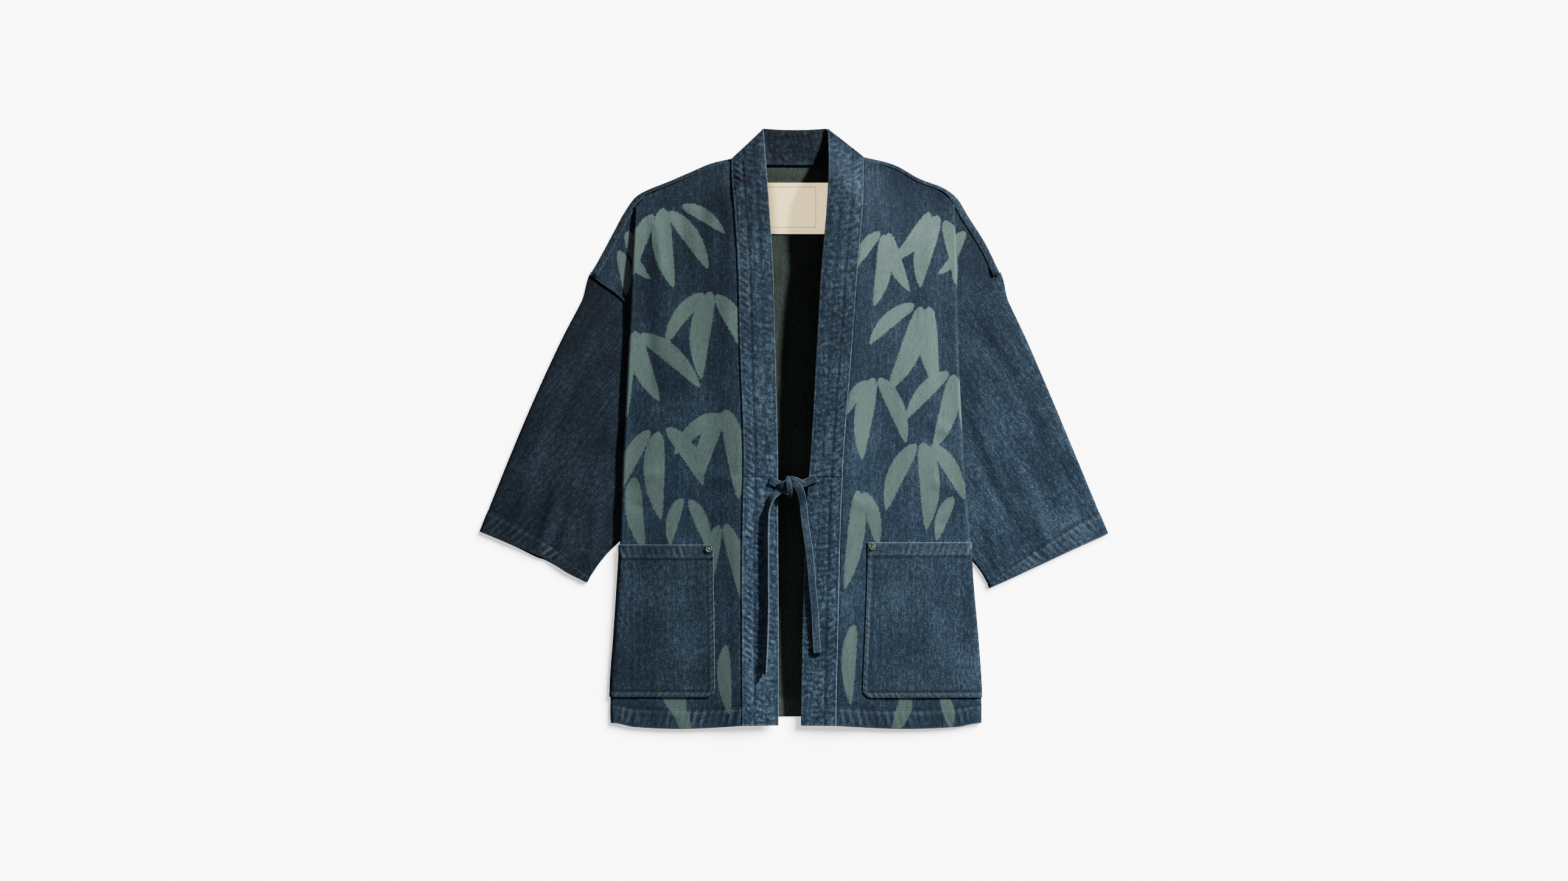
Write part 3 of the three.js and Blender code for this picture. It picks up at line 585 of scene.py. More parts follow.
def line_at(value, place, width):
    """1 on a line at a place, fading to 0 over a width on both sides of it."""
    return np.exp(-(((value - place) / width) ** 2))


def hem(across, up, depth, pitch, slant, dark, seed, shown=1.0):
    """How far a turned and stitched hem is raised, its wear and its tone, at heights up from its edge.
    pitch and slant are those of the ripples on it and past it; dark is how dark its stitched row and the
    hollows between its ripples are: dye left unrubbed there, and painted shade in those recesses."""
    inside = (1 - smooth(up, depth - 0.6, depth + 0.6)) * shown
    ripple = rope(across, up, pitch[0], slant[0], seed) * smooth(up, 0.5, 7) * inside
    beyond = line_at(up, depth + 4, 5) * rope(across, up, pitch[1], slant[1], seed + 2) * shown
    raised = HEM_RAISE * inside + 0.5 * ripple - 0.45 * line_at(up, depth, 1.4) * shown + 0.25 * beyond
    wear = 0.5 * line_at(up, 0, 1.3) + 0.75 * np.clip(ripple, 0, 1) ** 1.5
    wear = wear + 0.25 * line_at(up, depth - 3.5, 1.7) * shown
    # Darker along the stitched row and in the ripple hollows: unrubbed dye and painted shade in the
    # recesses.
    tone = 1 - dark[0] * line_at(up, depth, 2) * shown - dark[1] * np.clip(-ripple, 0, 1)
    return raised, wear, tone


def ridges(folds, x, y):
    """Soft ridges, and troughs where the height is less than 0, along a table's lines."""
    total = np.zeros(np.broadcast(x, y).shape)
    for x0, y0, x1, y1, width, height in folds:
        run = np.array((x1 - x0, y1 - y0), float)
        t = ((x - x0) * run[0] + (y - y0) * run[1]) / (run @ run)
        off = ((x - x0) * run[1] - (y - y0) * run[0]) / math.sqrt(run @ run)
        ends = smooth(t, -0.15, 0.25) * (1 - smooth(t, 0.7, 1.15))
        total = total + height * ends * line_at(off, 0, width)
    return total


FOLD_AT = {side: spline(BODY[side], 1) for side in SIDES}
OUT_AT = {side: spline(BODY[side], 2) for side in SIDES}
IN_AT = {side: spline(BODY[side], 3) for side in SIDES}
FOLD_HEIGHT = spline(HEIGHTS, 1)
EDGE_HEIGHT = spline(HEIGHTS, 2)
TUCK_AT = spline(HEIGHTS, 3)
REST_AT = spline(ROLL_REST, 1)


def shoulder_line(side, inset):
    line = evenly(curve_through(SHOULDER[side]), SHOULDER_POINTS)
    run = np.gradient(line, axis=0)
    run /= np.linalg.norm(run, axis=1, keepdims=True)
    return line + inset * np.stack([run[:, 1], -run[:, 0]], axis=1)


SHOULDER_EDGE = {side: shoulder_line(side, 0) for side in SIDES}
SHOULDER_SEAM = {side: shoulder_line(side, FELL_WIDTH + GAP) for side in SIDES}
FRONT_EDGE = {side: shoulder_line(side, FELL_SHOWS - 1.2) for side in SIDES}


def on_side(x, value):
    """A value of the side and the distance from the middle line, on the side where x lies."""
    return np.where(x < 0, value("left", np.abs(x)), value("right", np.abs(x)))


def top_edge(side, x):
    """The upper edge of a side's shoulder and collar, as y."""
    line = SHOULDER_EDGE[side]
    collar = np.interp(x, (NECK_CORNER, SHOULDER_NECK), (NECK_BAND_TOP, line[0, 1]))
    return np.where(x >= SHOULDER_NECK, np.interp(x, line[:, 0], line[:, 1]), collar)


def roll(side, y):
    """The roll at a front's side: the height that it rests on, its radius, where it starts, its middle."""
    foot = UNDERARM[side][0]
    rest = REST_AT(y) * smooth(y, foot - ROLL_CLIMB, foot - ROLL_CLIMB / 6)
    radius = (FOLD_HEIGHT(y) - rest - DENIM) / 2
    return rest, radius, FOLD_AT[side](y) - DENIM / 2 - radius, rest + DENIM / 2 + radius


def front_top(side, x, y):
    """Height of a front's upper face."""
    start = roll(side, y)[2]
    inwards = np.clip((start - x) / (start - IN_AT[side](y)), 0, 1)
    free = lerp(FOLD_HEIGHT(y), EDGE_HEIGHT(y), np.sin(math.pi / 2 * inwards) ** OPENING_BULGE)
    near_neck = 1 - smooth(x, SHOULDER_NECK, SHOULDER_NECK + CORNER_BLEND)
    below = top_edge(side, x) - y
    t = np.clip(below / lerp(SHOULDER_RISE, CORNER_RISE, near_neck), 0, 1)
    lifted = lerp(lerp(SEAM_TOP, CORNER_TOP, near_neck), free, t * t * (3 - 2 * t))
    flat = smooth(inwards, 0, ROLL_BLEND)
    folds = ridges(FRONT_FOLDS[side], x, y) * smooth(below, 30, 90)
    creases = ridges(FRONT_CREASES[side], x, y) * smooth(below, 8, 30) * smooth(inwards, 0, 0.1)
    out_x, in_x = OUT_AT[side](y), IN_AT[side](y)
    stand = smooth(y, COLLAR_STAND["from"], COLLAR_STAND["to"])
    inner = BAND_LEAN["inner"] + stand * COLLAR_STAND["inner"]
    outer = BAND_LEAN["outer"] + stand * COLLAR_STAND["outer"]
    on_band = lerp(inner, outer, np.clip((x - in_x) / (out_x - in_x), 0, 1))
    lean = on_band * (1 - smooth(x, out_x, out_x + BAND_LEAN["fade"])) * smooth(below, 8, 70)
    return lerp(FOLD_HEIGHT(y), lifted, flat) + folds * flat + CREASE_DEPTH["front"] * creases + lean


def armhole(side, share, inset=0.0):
    """The armhole seam seen from above, moved towards the body by an inset."""
    plain = lerp(ARMHOLE[0][0], ARMHOLE[-1][0], np.asarray(share, float))
    y = np.where(plain > 0, plain, plain * UNDERARM[side][1])
    own = spline(ARMHOLE, 1)(plain)
    reach = np.where(own < 0, ARMHOLE_REACH[side], 1)
    return FOLD_AT[side](y) - own * reach - inset, y


def grid(*columns):
    return np.stack(np.broadcast_arrays(*columns), axis=-1).astype(float)


def wash(y):
    """How much paler the cloth is washed towards the hem than at the shoulders."""
    return 0.79 - 0.36 * smooth(y, -250, 330)


def wall_faces(height, width, ring):
    """A wall's faces as corner numbers, its outer side first, then its inner side and its edges, and how
    many each side has."""
    last = width if ring else width - 1
    i, j = (a.ravel() for a in np.meshgrid(np.arange(height - 1), np.arange(last), indexing="ij"))
    a, b = i * width + j, i * width + (j + 1) % width
    side = np.stack([a, b, b + width, a + width], axis=1)
    under = height * width
    faces = [side, side[:, ::-1] + under]
    for row, turn in ((0, 1), (height - 1, -1)):
        a, b = row * width + np.arange(last), row * width + (np.arange(last) + 1) % width
        faces.append(np.stack([b, a, a + under, b + under], axis=1)[:, ::turn])
    if not ring:
        for column, turn in ((0, 1), (width - 1, -1)):
            a = np.arange(height - 1) * width + column
            faces.append(np.stack([a, a + width, a + width + under, a + under], axis=1)[:, ::turn])
    return np.vstack(faces), len(side)


def wall(centre, cloth, thick=DENIM, raised=0.0, wear=0.0, tone=1.0, ring=False, brush=None):
    """A thin wall round a grid of centre points, raised on its outer face only.
    cloth is each point's place on the flat cloth; wear and tone are how worn and how pale it is, and tone
    also holds the painted shade that callers put in grooves, hollows and crevices and on the left sleeve and
    pocket."""
    height, width = centre.shape[:2]
    across = np.roll(centre, -1, 1) - np.roll(centre, 1, 1) if ring else np.gradient(centre, axis=1)
    normal = np.cross(across, np.gradient(centre, axis=0))
    normal /= np.maximum(np.linalg.norm(normal, axis=2, keepdims=True), 1e-9)
    out = centre - centre.mean(axis=1, keepdims=True) if ring else np.array((0, 0, 1.0))
    flip = np.sum(normal * out) < 0
    if flip:
        normal = -normal
    full = np.ones((height, width))
    full[[0, -1]] *= EDGE_THIN
    if not ring:
        full[:, [0, -1]] *= EDGE_THIN
    outer = centre + normal * (full * (thick / 2 + raised))[..., None]
    inner = centre - normal * (full * thick / 2)[..., None]
    faces, per_side = wall_faces(height, width, ring)

    def on_both(value):
        return np.tile(np.broadcast_to(value, (height, width)).ravel(), 2)

    return {
        "outer": outer,
        "normal": normal,
        "points": np.vstack([outer.reshape(-1, 3), inner.reshape(-1, 3)]),
        "faces": faces[:, ::-1] if flip else faces,
        "places": np.tile(cloth.reshape(-1, 2), (2, 1)),
        "inside": np.arange(len(faces)) // per_side == 1,
        "wear": on_both(wear),
        "tone": on_both(tone * wash(centre[..., 1])),
        "brush": np.tile(brush.reshape(-1, 3), (2, 1)) if brush is not None else None,
    }


def mesh_of(name, points, faces, mirror, materials):
    """A smooth mesh object from points in millimetres, flat where it would pass below the floor."""
    points = np.array(points) * MM
    points[:, 2] = np.maximum(points[:, 2], 0)
    if mirror:
        points = points * (-1, 1, 1)
        faces = [face[::-1] for face in faces]
    mesh = bpy.data.meshes.new(name)
    mesh.from_pydata(points.tolist(), [], [list(face) for face in faces])
    mesh.polygons.foreach_set("use_smooth", [True] * len(mesh.polygons))
    for material in materials:
        mesh.materials.append(material)
    made = bpy.data.objects.new(name, mesh)
    GARMENT.objects.link(made)
    return made


def cloth_object(name, walls, materials, mirror=False):
    """One piece of cloth from one or more walls. The second material is the cloth's inner side."""
    starts = np.cumsum([0] + [len(w["points"]) for w in walls[:-1]])
    points = np.vstack([w["points"] for w in walls])
    faces = np.vstack([w["faces"] + start for w, start in zip(walls, starts)])
    made = mesh_of(name, points, faces.tolist(), mirror, materials)
    mesh = made.data
    places = np.vstack([w["places"] for w in walls]) * MM * ((-1, 1) if mirror else (1, 1))
    corners = np.empty(len(mesh.loops), int)
    mesh.loops.foreach_get("vertex_index", corners)
    layer = mesh.uv_layers.new(name="cloth")
    layer.data.foreach_set("uv", places[corners].ravel())
    if len(materials) > 1:
        inside = np.concatenate([w["inside"] for w in walls])
        mesh.polygons.foreach_set("material_index", inside.astype(int).tolist())
    for key in ("wear", "tone"):
        values = mesh.attributes.new(key, "FLOAT", "POINT")
        values.data.foreach_set("value", np.concatenate([w[key] for w in walls]))
    if walls[0]["brush"] is not None:
        values = mesh.attributes.new("brush", "FLOAT_VECTOR", "POINT")
        values.data.foreach_set("vector", np.vstack([w["brush"] for w in walls]).ravel())
    return made


def line_on(made, rows, columns):
    """Points and outward directions on a wall's outer face. Rows and columns may lie between two."""
    rows, columns = np.broadcast_arrays(np.asarray(rows, float), np.asarray(columns, float))
    height, width = made["outer"].shape[:2]
    i = np.clip(rows.astype(int), 0, height - 2)
    j = np.clip(columns.astype(int), 0, width - 2)
    s, t = (rows - i)[:, None], (columns - j)[:, None]

    def between(values):
        low = lerp(values[i, j], values[i, j + 1], t)
        return lerp(low, lerp(values[i + 1, j], values[i + 1, j + 1], t), s)

    normal = between(made["normal"])
    return between(made["outer"]), normal / np.linalg.norm(normal, axis=1, keepdims=True)


def stitch_faces(start):
    """One stitch's faces, from the number of its first point."""
    faces = []
    for ring in range(len(STITCH_RINGS) - 1):
        for n in range(STITCH_SIDES):
            a = start + ring * STITCH_SIDES + n
            b = start + ring * STITCH_SIDES + (n + 1) % STITCH_SIDES
            faces.append((a, b, b + STITCH_SIDES, a + STITCH_SIDES))
    last = start + (len(STITCH_RINGS) - 1) * STITCH_SIDES
    faces.append(tuple(start + n for n in reversed(range(STITCH_SIDES))))
    faces.append(tuple(last + n for n in range(STITCH_SIDES)))
    return faces


def stitch_object(name, lines, material, mirror=False, length=2.7, gap=0.8, radius=0.36, seed=3):
    """Rows of short raised stitches. Each line is its points and outward directions."""
    rng = np.random.default_rng(seed)
    angles = np.arange(STITCH_SIDES) * 2 * math.pi / STITCH_SIDES
    points, faces = [], []
    for line, normals in lines:
        reach = along(line)
        count = max(int(reach[-1] / (length + gap)), 1)
        middle = (np.arange(count) + 0.5) * reach[-1] / count
        middle += rng.uniform(-0.12, 0.12, count)

        def at(distance, values):
            return np.stack([np.interp(distance, reach, column) for column in values.T], axis=1)

        run = at(middle + 0.4, line) - at(middle - 0.4, line)
        run /= np.maximum(np.linalg.norm(run, axis=1, keepdims=True), 1e-9)
        up = at(middle, normals)
        side = np.cross(up, run)
        side += 0.08 * rng.standard_normal((count, 1)) * run
        for base, forward, out, across in zip(at(middle, line), run, up, side):
            faces += stitch_faces(len(points))
            for share, size, drop in STITCH_RINGS:
                centre = base + forward * share * length + out * radius * drop * 0.6
                for angle in angles:
                    turned = math.cos(angle) * across + math.sin(angle) * STITCH_FLAT * out
                    points.append(centre + radius * size * turned)
    return mesh_of(name, points, faces, mirror, [material])


def linear(colour):
    """An sRGB hex colour as linear RGBA."""
    channels = [int(COLOURS[colour][i : i + 2], 16) / 255 for i in (1, 3, 5)]
    return (*[c / 12.92 if c <= 0.04045 else ((c + 0.055) / 1.055) ** 2.4 for c in channels], 1.0)


def add(tree, kind, inputs=None, stops=(), **settings):
    """A shader node with its settings, its inputs as values or as the nodes that feed them, and the
    colours along its ramp."""
    made = tree.nodes.new("ShaderNode" + kind)
    for key, value in settings.items():
        setattr(made, key, value)
    for key, value in (inputs or {}).items():
        if isinstance(value, bpy.types.Node):
            value = next(socket for socket in value.outputs if socket.enabled)
        if isinstance(value, bpy.types.NodeSocket):
            tree.links.new(value, made.inputs[key])
        else:
            made.inputs[key].default_value = value
    if stops:
        elements = made.color_ramp.elements
        while len(elements) < len(stops):
            elements.new(0.5)
        for element, (place, colour) in zip(elements, stops):
            element.position = place
            element.color = linear(colour)
    return made


def new_material(name):
    material = bpy.data.materials.new(name)
    material.use_nodes = True
    tree = material.node_tree
    tree.nodes.clear()
    return material, tree


def surface(tree, inputs):
    add(tree, "OutputMaterial", {"Surface": add(tree, "BsdfPrincipled", inputs)})


def scaled(tree, vector, size):
    """A place in units of a pattern's size in millimetres, across and along."""
    factors = (1 / (size[0] * MM), 1 / (size[1] * MM), 1)
    return add(tree, "VectorMath", {0: vector, 1: factors}, operation="MULTIPLY")


def weave(tree, contrast=1.0, blotch=0.0):
    """Twill cloth: its lightness about 0.5 from threads, slubs, fading and diagonal lines, and the blotches
    of cloth that was washed while it was puckered."""
    place = add(tree, "UVMap", uv_map="cloth")
    rates = [2 * math.pi * lean / (TWILL_PITCH * MM) for lean in TWILL_LEAN]
    slope = add(tree, "VectorMath", {0: place, 1: (*rates, 0)}, operation="DOT_PRODUCT")
    twill = add(tree, "Math", {0: slope}, operation="SINE")
    total = add(tree, "Math", {0: twill, 1: TWILL_SHARE * contrast, 2: 0.5}, operation="MULTIPLY_ADD")
    noises = []
    for size, detail, share in (*WEAVE, (*BLOTCHES, blotch)):
        if share:
            vector = scaled(tree, place, size)
            noise = add(tree, "TexNoise", {"Vector": vector, "Scale": 1, "Detail": detail})
            off = add(tree, "Math", {0: noise, 1: 0.5}, operation="SUBTRACT")
            total = add(tree, "Math", {0: off, 1: share * contrast, 2: total}, operation="MULTIPLY_ADD")
            noises.append(noise)
    grain = noises[0]
    height = add(tree, "Math", {0: twill, 1: TWILL_HEIGHT, 2: grain}, operation="MULTIPLY_ADD")
    bump = add(tree, "Bump", {"Height": height, "Distance": GRAIN_DEPTH * MM, "Strength": 0.7})
    if blotch:
        puckers = {"Height": noises[-1], "Distance": BLOTCH_DEPTH * MM, "Strength": 0.7, "Normal": bump}
        bump = add(tree, "Bump", puckers)
    return place, grain, total, bump


def denim(name, stops, contrast=1.0, painted=False, blotch=0.0):
    """Rope dyed cotton twill, stone washed. The dye stays on the outside of the threads, so that rubbed
    crests and edges are pale and sewn grooves dark, and the cloth is matt with a faint fuzz. The tone it is
    multiplied by also holds painted shade, in grooves, hollows and crevices and on the left sleeve and
    pocket."""
    material, tree = new_material(name)
    place, grain, total, bump = weave(tree, contrast, blotch)
    wear = add(tree, "Attribute", attribute_name="wear").outputs["Fac"]
    tone = add(tree, "Attribute", attribute_name="tone").outputs["Color"]
    crests = add(tree, "Math", {0: total, 1: 0.9, 2: 0.25}, operation="MULTIPLY_ADD")
    rubbed = add(tree, "Math", {0: wear, 1: crests}, operation="MULTIPLY", use_clamp=True)
    dyed = add(tree, "ValToRGB", {"Fac": total}, stops)
    faded = add(tree, "Mix", {SHARE: rubbed, FIRST: dyed, SECOND: linear("worn")}, data_type="RGBA")
    shades = {SHARE: 1.0, FIRST: faded, SECOND: tone}
    colour = add(tree, "Mix", shades, data_type="RGBA", blend_type="MULTIPLY")
    if painted:
        colour = paint(tree, place, grain, total, colour)
    surface(tree, {
        "Base Color": colour, "Roughness": 0.88, "IOR": 1.5, "Specular IOR Level": 0.25,
        "Sheen Weight": 0.08, "Sheen Roughness": 0.5, "Normal": bump,
    })
    return material


def paint(tree, place, grain, total, colour):
    """Thin pigment brushed over the cloth. It takes on the crests first, so that its edges are ragged and
    threads and bristle marks show through it. brush is each point's place across and along the stroke and
    its distance from the stroke's edge, in millimetres, less than 0 inside."""
    brush = add(tree, "Attribute", attribute_name="brush").outputs["Vector"]
    across, run, edge = add(tree, "SeparateXYZ", {0: brush}).outputs
    rough = add(tree, "TexNoise", {"Vector": scaled(tree, place, PAINT_EDGE), "Scale": 1, "Detail": 3})
    slow = add(tree, "Math", {0: run, 1: BRISTLE_RUN}, operation="MULTIPLY")
    stroke = add(tree, "CombineXYZ", {0: across, 1: slow})
    bristle = add(tree, "TexNoise", {"Vector": stroke, "Scale": BRISTLE_SCALE, "Detail": 2})
    ragged = edge
    for pattern, reach in zip((rough, bristle, grain), EDGE_RAGGED.values()):
        ragged = add(tree, "Math", {0: pattern, 1: reach, 2: ragged}, operation="MULTIPLY_ADD")
    low, high = PAINT_ENDS
    inside = {"Value": ragged, "From Min": low, "From Max": high, "To Min": 1, "To Max": 0}
    cover = add(tree, "MapRange", inside)
    thin = add(tree, "Math", {0: bristle, 1: BRISTLE_SHOWS, 2: total}, operation="MULTIPLY_ADD")
    dry = add(tree, "MapRange", {"Value": thin, **PAINT_DRIES})
    amount = add(tree, "Math", {0: cover, 1: dry}, operation="MULTIPLY", use_clamp=True)
    return add(tree, "Mix", {SHARE: amount, FIRST: colour, SECOND: linear("paint")}, data_type="RGBA")


def spun_thread(name, base, spots):
    """Spun cotton sewing thread: matt, and mottled where its twist catches the light."""
    material, tree = new_material(name)
    place = add(tree, "TexCoord").outputs["Object"]
    noise = add(tree, "TexNoise", {"Vector": place, "Scale": 1 / (THREAD_TWIST * MM), "Detail": 2})
    colour = add(tree, "Mix", {SHARE: noise, FIRST: linear(base), SECOND: linear(spots)}, data_type="RGBA")
    surface(tree, {"Base Color": colour, "Roughness": 0.75, "IOR": 1.5, "Specular IOR Level": 0.2})
    return material


def label_cloth(name):
    """Bleached cream cotton, plain woven, with a thin printed rectangle: smooth and nearly even."""
    material, tree = new_material(name)
    place = add(tree, "UVMap", uv_map="cloth")
    x, y = add(tree, "SeparateXYZ", {0: place}).outputs[:2]
    past = []
    for axis, low, high in ((x, "left", "right"), (y, "bottom", "top")):
        middle = (LABEL_FRAME[low] + LABEL_FRAME[high]) / 2 * MM
        half = (LABEL_FRAME[high] - LABEL_FRAME[low]) / 2 * MM
        off = add(tree, "Math", {0: axis, 1: middle}, operation="SUBTRACT")
        reach = add(tree, "Math", {0: off}, operation="ABSOLUTE")
        past.append(add(tree, "Math", {0: reach, 1: half}, operation="SUBTRACT"))
    edge = add(tree, "Math", {0: past[0], 1: past[1]}, operation="MAXIMUM")
    near = add(tree, "Math", {0: edge}, operation="ABSOLUTE")
    line = add(tree, "Math", {0: near, 1: LABEL_FRAME["line"] / 2 * MM}, operation="LESS_THAN")
    noise = add(tree, "TexNoise", {"Vector": scaled(tree, place, LABEL_WEAVE), "Scale": 1, "Detail": 2})
    faint = add(tree, "Math", {0: noise, 1: 0.2}, operation="MULTIPLY")
    threads = {SHARE: faint, FIRST: linear("label"), SECOND: linear("label_thread")}
    cloth = add(tree, "Mix", threads, data_type="RGBA")
    printed = {SHARE: line, FIRST: cloth, SECOND: linear("label_line")}
    colour = add(tree, "Mix", printed, data_type="RGBA")
    surface(tree, {"Base Color": colour, "Roughness": 0.7, "IOR": 1.5, "Specular IOR Level": 0.2})
    return material


def aged_copper(name):
    """Stamped copper gone green with age: chalky pale green over brown metal that still glints in spots."""
    material, tree = new_material(name)
    place = add(tree, "TexCoord").outputs["Object"]
    size = 1 / (PATINA_SPOT * MM)
    noise = add(tree, "TexNoise", {"Vector": place, "Scale": size, "Detail": 4, "Roughness": 0.7})
    stops = ((0.34, "copper"), (0.46, "patina_dark"), (0.56, "patina"))
    colour = add(tree, "ValToRGB", {"Fac": noise}, stops)
    bump = add(tree, "Bump", {"Height": noise, "Distance": PATINA_DEPTH * MM, "Strength": 0.6})
    surface(tree, {"Base Color": colour, "Metallic": 0.55, "Roughness": 0.42, "Normal": bump})
    return material


def lit_acrylic(name):
    """A frosted white acrylic sheet lit from below, so that shadows on it stay pale."""
    material, tree = new_material(name)
    white = linear("floor")
    surface(tree, {
        "Base Color": white, "Roughness": 0.6, "Specular IOR Level": 0.1,
        "Emission Color": white, "Emission Strength": 1.0,
    })
    return material


PIECES = {}


def piece(node, made, slot, *trims):
    """made stands for a CAD node, with its stitches."""
    for trim in (made, *trims):
        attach(trim, "root")
        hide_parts(node)
    PIECES[node] = (made, *trims)


def sewn_piece(node, slot, walls, materials, lines, seed, mirror=False, thread=None, **stitch):
    """A CAD node's cloth with its rows of stitches."""
    made = cloth_object(f"{node}_cloth", walls, materials, mirror)
    trims = stitch_object(f"{node}_stitches", lines, thread or THREAD, mirror, seed=seed, **stitch)
    piece(node, made, slot, trims)


def leaf_field(side, x, y):
    """Each point's place across and along the nearest painted leaf, and its distance from that leaf's
    edge, less than 0 inside."""
    best = grid(np.zeros_like(x), np.zeros_like(x), np.full_like(x, 30.0))
    for k, (x0, y0, angle, length, width, bend) in enumerate(LEAVES[side]):
        turn = math.radians(angle)
        run = (x - x0) * math.cos(turn) + (y - y0) * math.sin(turn)
        off = -(x - x0) * math.sin(turn) + (y - y0) * math.cos(turn)
        length = length * LEAF_LONG
        t = np.clip(run / length, 0, 1)
        off = off - bend * 4 * t * (1 - t)
        half = LEAF_FULL * width * t**0.5 * (1 - t) ** 0.75
        past = np.maximum(np.maximum(-run, run - length), 0)
        edge = np.where(past > 0, np.hypot(past, np.abs(off)), np.abs(off) - half)
        nearer = (edge < best[..., 2])[..., None]
        best = np.where(nearer, grid(off + LEAF_APART * k, run, edge), best)
    return best


def front_wall(side):
    """The front from the band's seam to the side, round the roll and in under itself."""
    v = samples(286, 750)[:, None]
    c = samples(72, FRONT_ACROSS)[None, :]
    seam = FRONT_EDGE[side]
    hem_y = BAND_FOOT - HEM_SAG * np.sin(math.pi * c) + HEM_LIFT * smooth(c, 0.85, 1)
    top_x = lerp(OUT_AT[side](BACK_NECK), SHOULDER_POINT + ROLL_PAST, c)
    y = lerp(hem_y, np.interp(top_x, seam[:, 0], seam[:, 1]), v)
    under_band = np.clip(1 - c * FRONT_ACROSS / BAND_LAP["over"], 0, 1)
    x = lerp(OUT_AT[side](y) + GAP, roll(side, y)[2], c) - BAND_LAP["in"] * under_band
    flat = grid(x, y, front_top(side, x, y) - DENIM / 2 - BAND_LAP["down"] * under_band)
    y_edge = y[:, -1:]
    rest, radius, start, middle = roll(side, y_edge)
    a = np.linspace(0, math.pi, 13)[None, 1:]
    turned = grid(start + radius * np.sin(a), y_edge, middle + radius * np.cos(a))
    t = np.linspace(0, 1, 9)[None, 1:]
    end = FOLD_AT[side](y_edge) - TUCK_AT(y_edge)
    sink = smooth(y_edge, *TUCK_SINKS) * (rest - LAID)
    tucked = grid(lerp(start, end, t), y_edge, rest + DENIM / 2 - sink * t**2)
    centre = np.concatenate([flat, turned, tucked], axis=1)
    spread = np.concatenate([x, start + radius * a, start + math.pi * radius + (start - end) * t], axis=1)
    cloth = grid(spread, centre[..., 1])
    up = centre[..., 1] - centre[:1, :, 1]
    raised, wear, tone = hem(cloth[..., 0], up, **HEMS["body"])
    seam_side = cloth[..., 0] - cloth[:, :1, 0]
    pulls = line_at(seam_side, 0, 6) * rope(centre[..., 1], seam_side, 11, 0.7, 25)
    on_roll = smooth(cloth[..., 0], start - 4, start) * (1 - smooth(cloth[..., 0], start + 2, start + 8))
    brush = leaf_field(side, cloth[..., 0], cloth[..., 1])
    raised = raised + 0.16 * pulls
    return wall(centre, cloth, raised=raised, wear=wear + 0.08 * on_roll, tone=tone, brush=brush)


def cap_wall(side):
    """The front's cloth past the roll, as far as the armhole seam."""
    seam_x, seam_y = armhole(side, np.linspace(0.001, CAP_SHARE, 12), 2 * GAP)
    shoulder = SHOULDER_SEAM[side]
    edge = np.vstack([np.stack([seam_x, seam_y], axis=1)[::-1], shoulder[::-1]])
    edge = edge[np.argsort(edge[:, 1])]
    y = lerp(seam_y[-1], 300.0, samples(60, 150))[:, None]
    outer = np.interp(y, edge[:, 1], edge[:, 0])
    inner = np.minimum(FOLD_AT[side](y) - CAP_UNDER, outer - 2)
    x = lerp(inner, outer, samples(26, 50)[None, :])
    soft = 0.35 * wander(x / 13 + y / 31, 5) * smooth(outer - x, 0, 8)
    z = LAID + DENIM / 2 + 0.5 + soft
    cloth = grid(x + CAP_CLOTH, y)
    brush = leaf_field(side, cloth[..., 0], cloth[..., 1])
    return wall(grid(x, y, z), cloth, wear=0.03, brush=brush)


def make_front(side):
    main = front_wall(side)
    up = main["outer"][:, :, 1] - main["outer"][:1, :, 1]
    columns = np.arange(2, up.shape[1] - 3)
    hem_rows = np.array([index_at(BODY_HEM, up[:, column]) for column in columns])
    sewn_piece(
        f"front_{side}", "denim_front", [main, cap_wall(side)], [FRONT_CLOTH, INSIDE_CLOTH],
        [line_on(main, hem_rows, columns)], 3, side == "left",
    )


def sleeve_form(side):
    """Two functions of the share of the way down the sleeve and of the way round a layer: the place seen
    from above, and the height of the upper layer."""
    cuff_x, cuff_y = (spline(CUFF[side], column) for column in (1, 2))

    def full(k, s):
        x, y = armhole(side, s)
        bulge = np.sin(math.pi * k) * lerp(SLEEVE_BULGE[side], UNDERARM_BULGE, s)
        x, y = lerp(x, cuff_x(s), k), lerp(y, cuff_y(s), k)
        return x + bulge * SLEEVE_LINE[1], y + bulge * SLEEVE_LINE[0]

    def place(k, s):
        (x0, y0), (x1, y1) = full(k, 0.0), full(k, 1.0)
        trim = SLEEVE_HIGH / 2 * smooth(k, 0, 0.1) / np.hypot(x1 - x0, y1 - y0)
        return full(k, lerp(trim, 1 - trim, s))

    def height(k, s):
        x, y = place(k, s)
        reach = SLEEVE_OPENS["along"] * k + SLEEVE_OPENS["across"] * s
        open_by = smooth(reach, SLEEVE_OPENS["from"], SLEEVE_OPENS["to"])
        edge = np.minimum(s, 1 - s)
        folds = ridges(SLEEVE_FOLDS[side], x, y) * smooth(edge, 0, 0.16) * smooth(k, 0.1, 0.3)
        creases = ridges(SLEEVE_CREASES[side], x, y) * smooth(edge, 0, 0.08) * smooth(k, 0.02, 0.15)
        return lerp(SLEEVE_LOW, SLEEVE_HIGH, open_by) + folds + CREASE_DEPTH["sleeve"] * creases

    return place, height


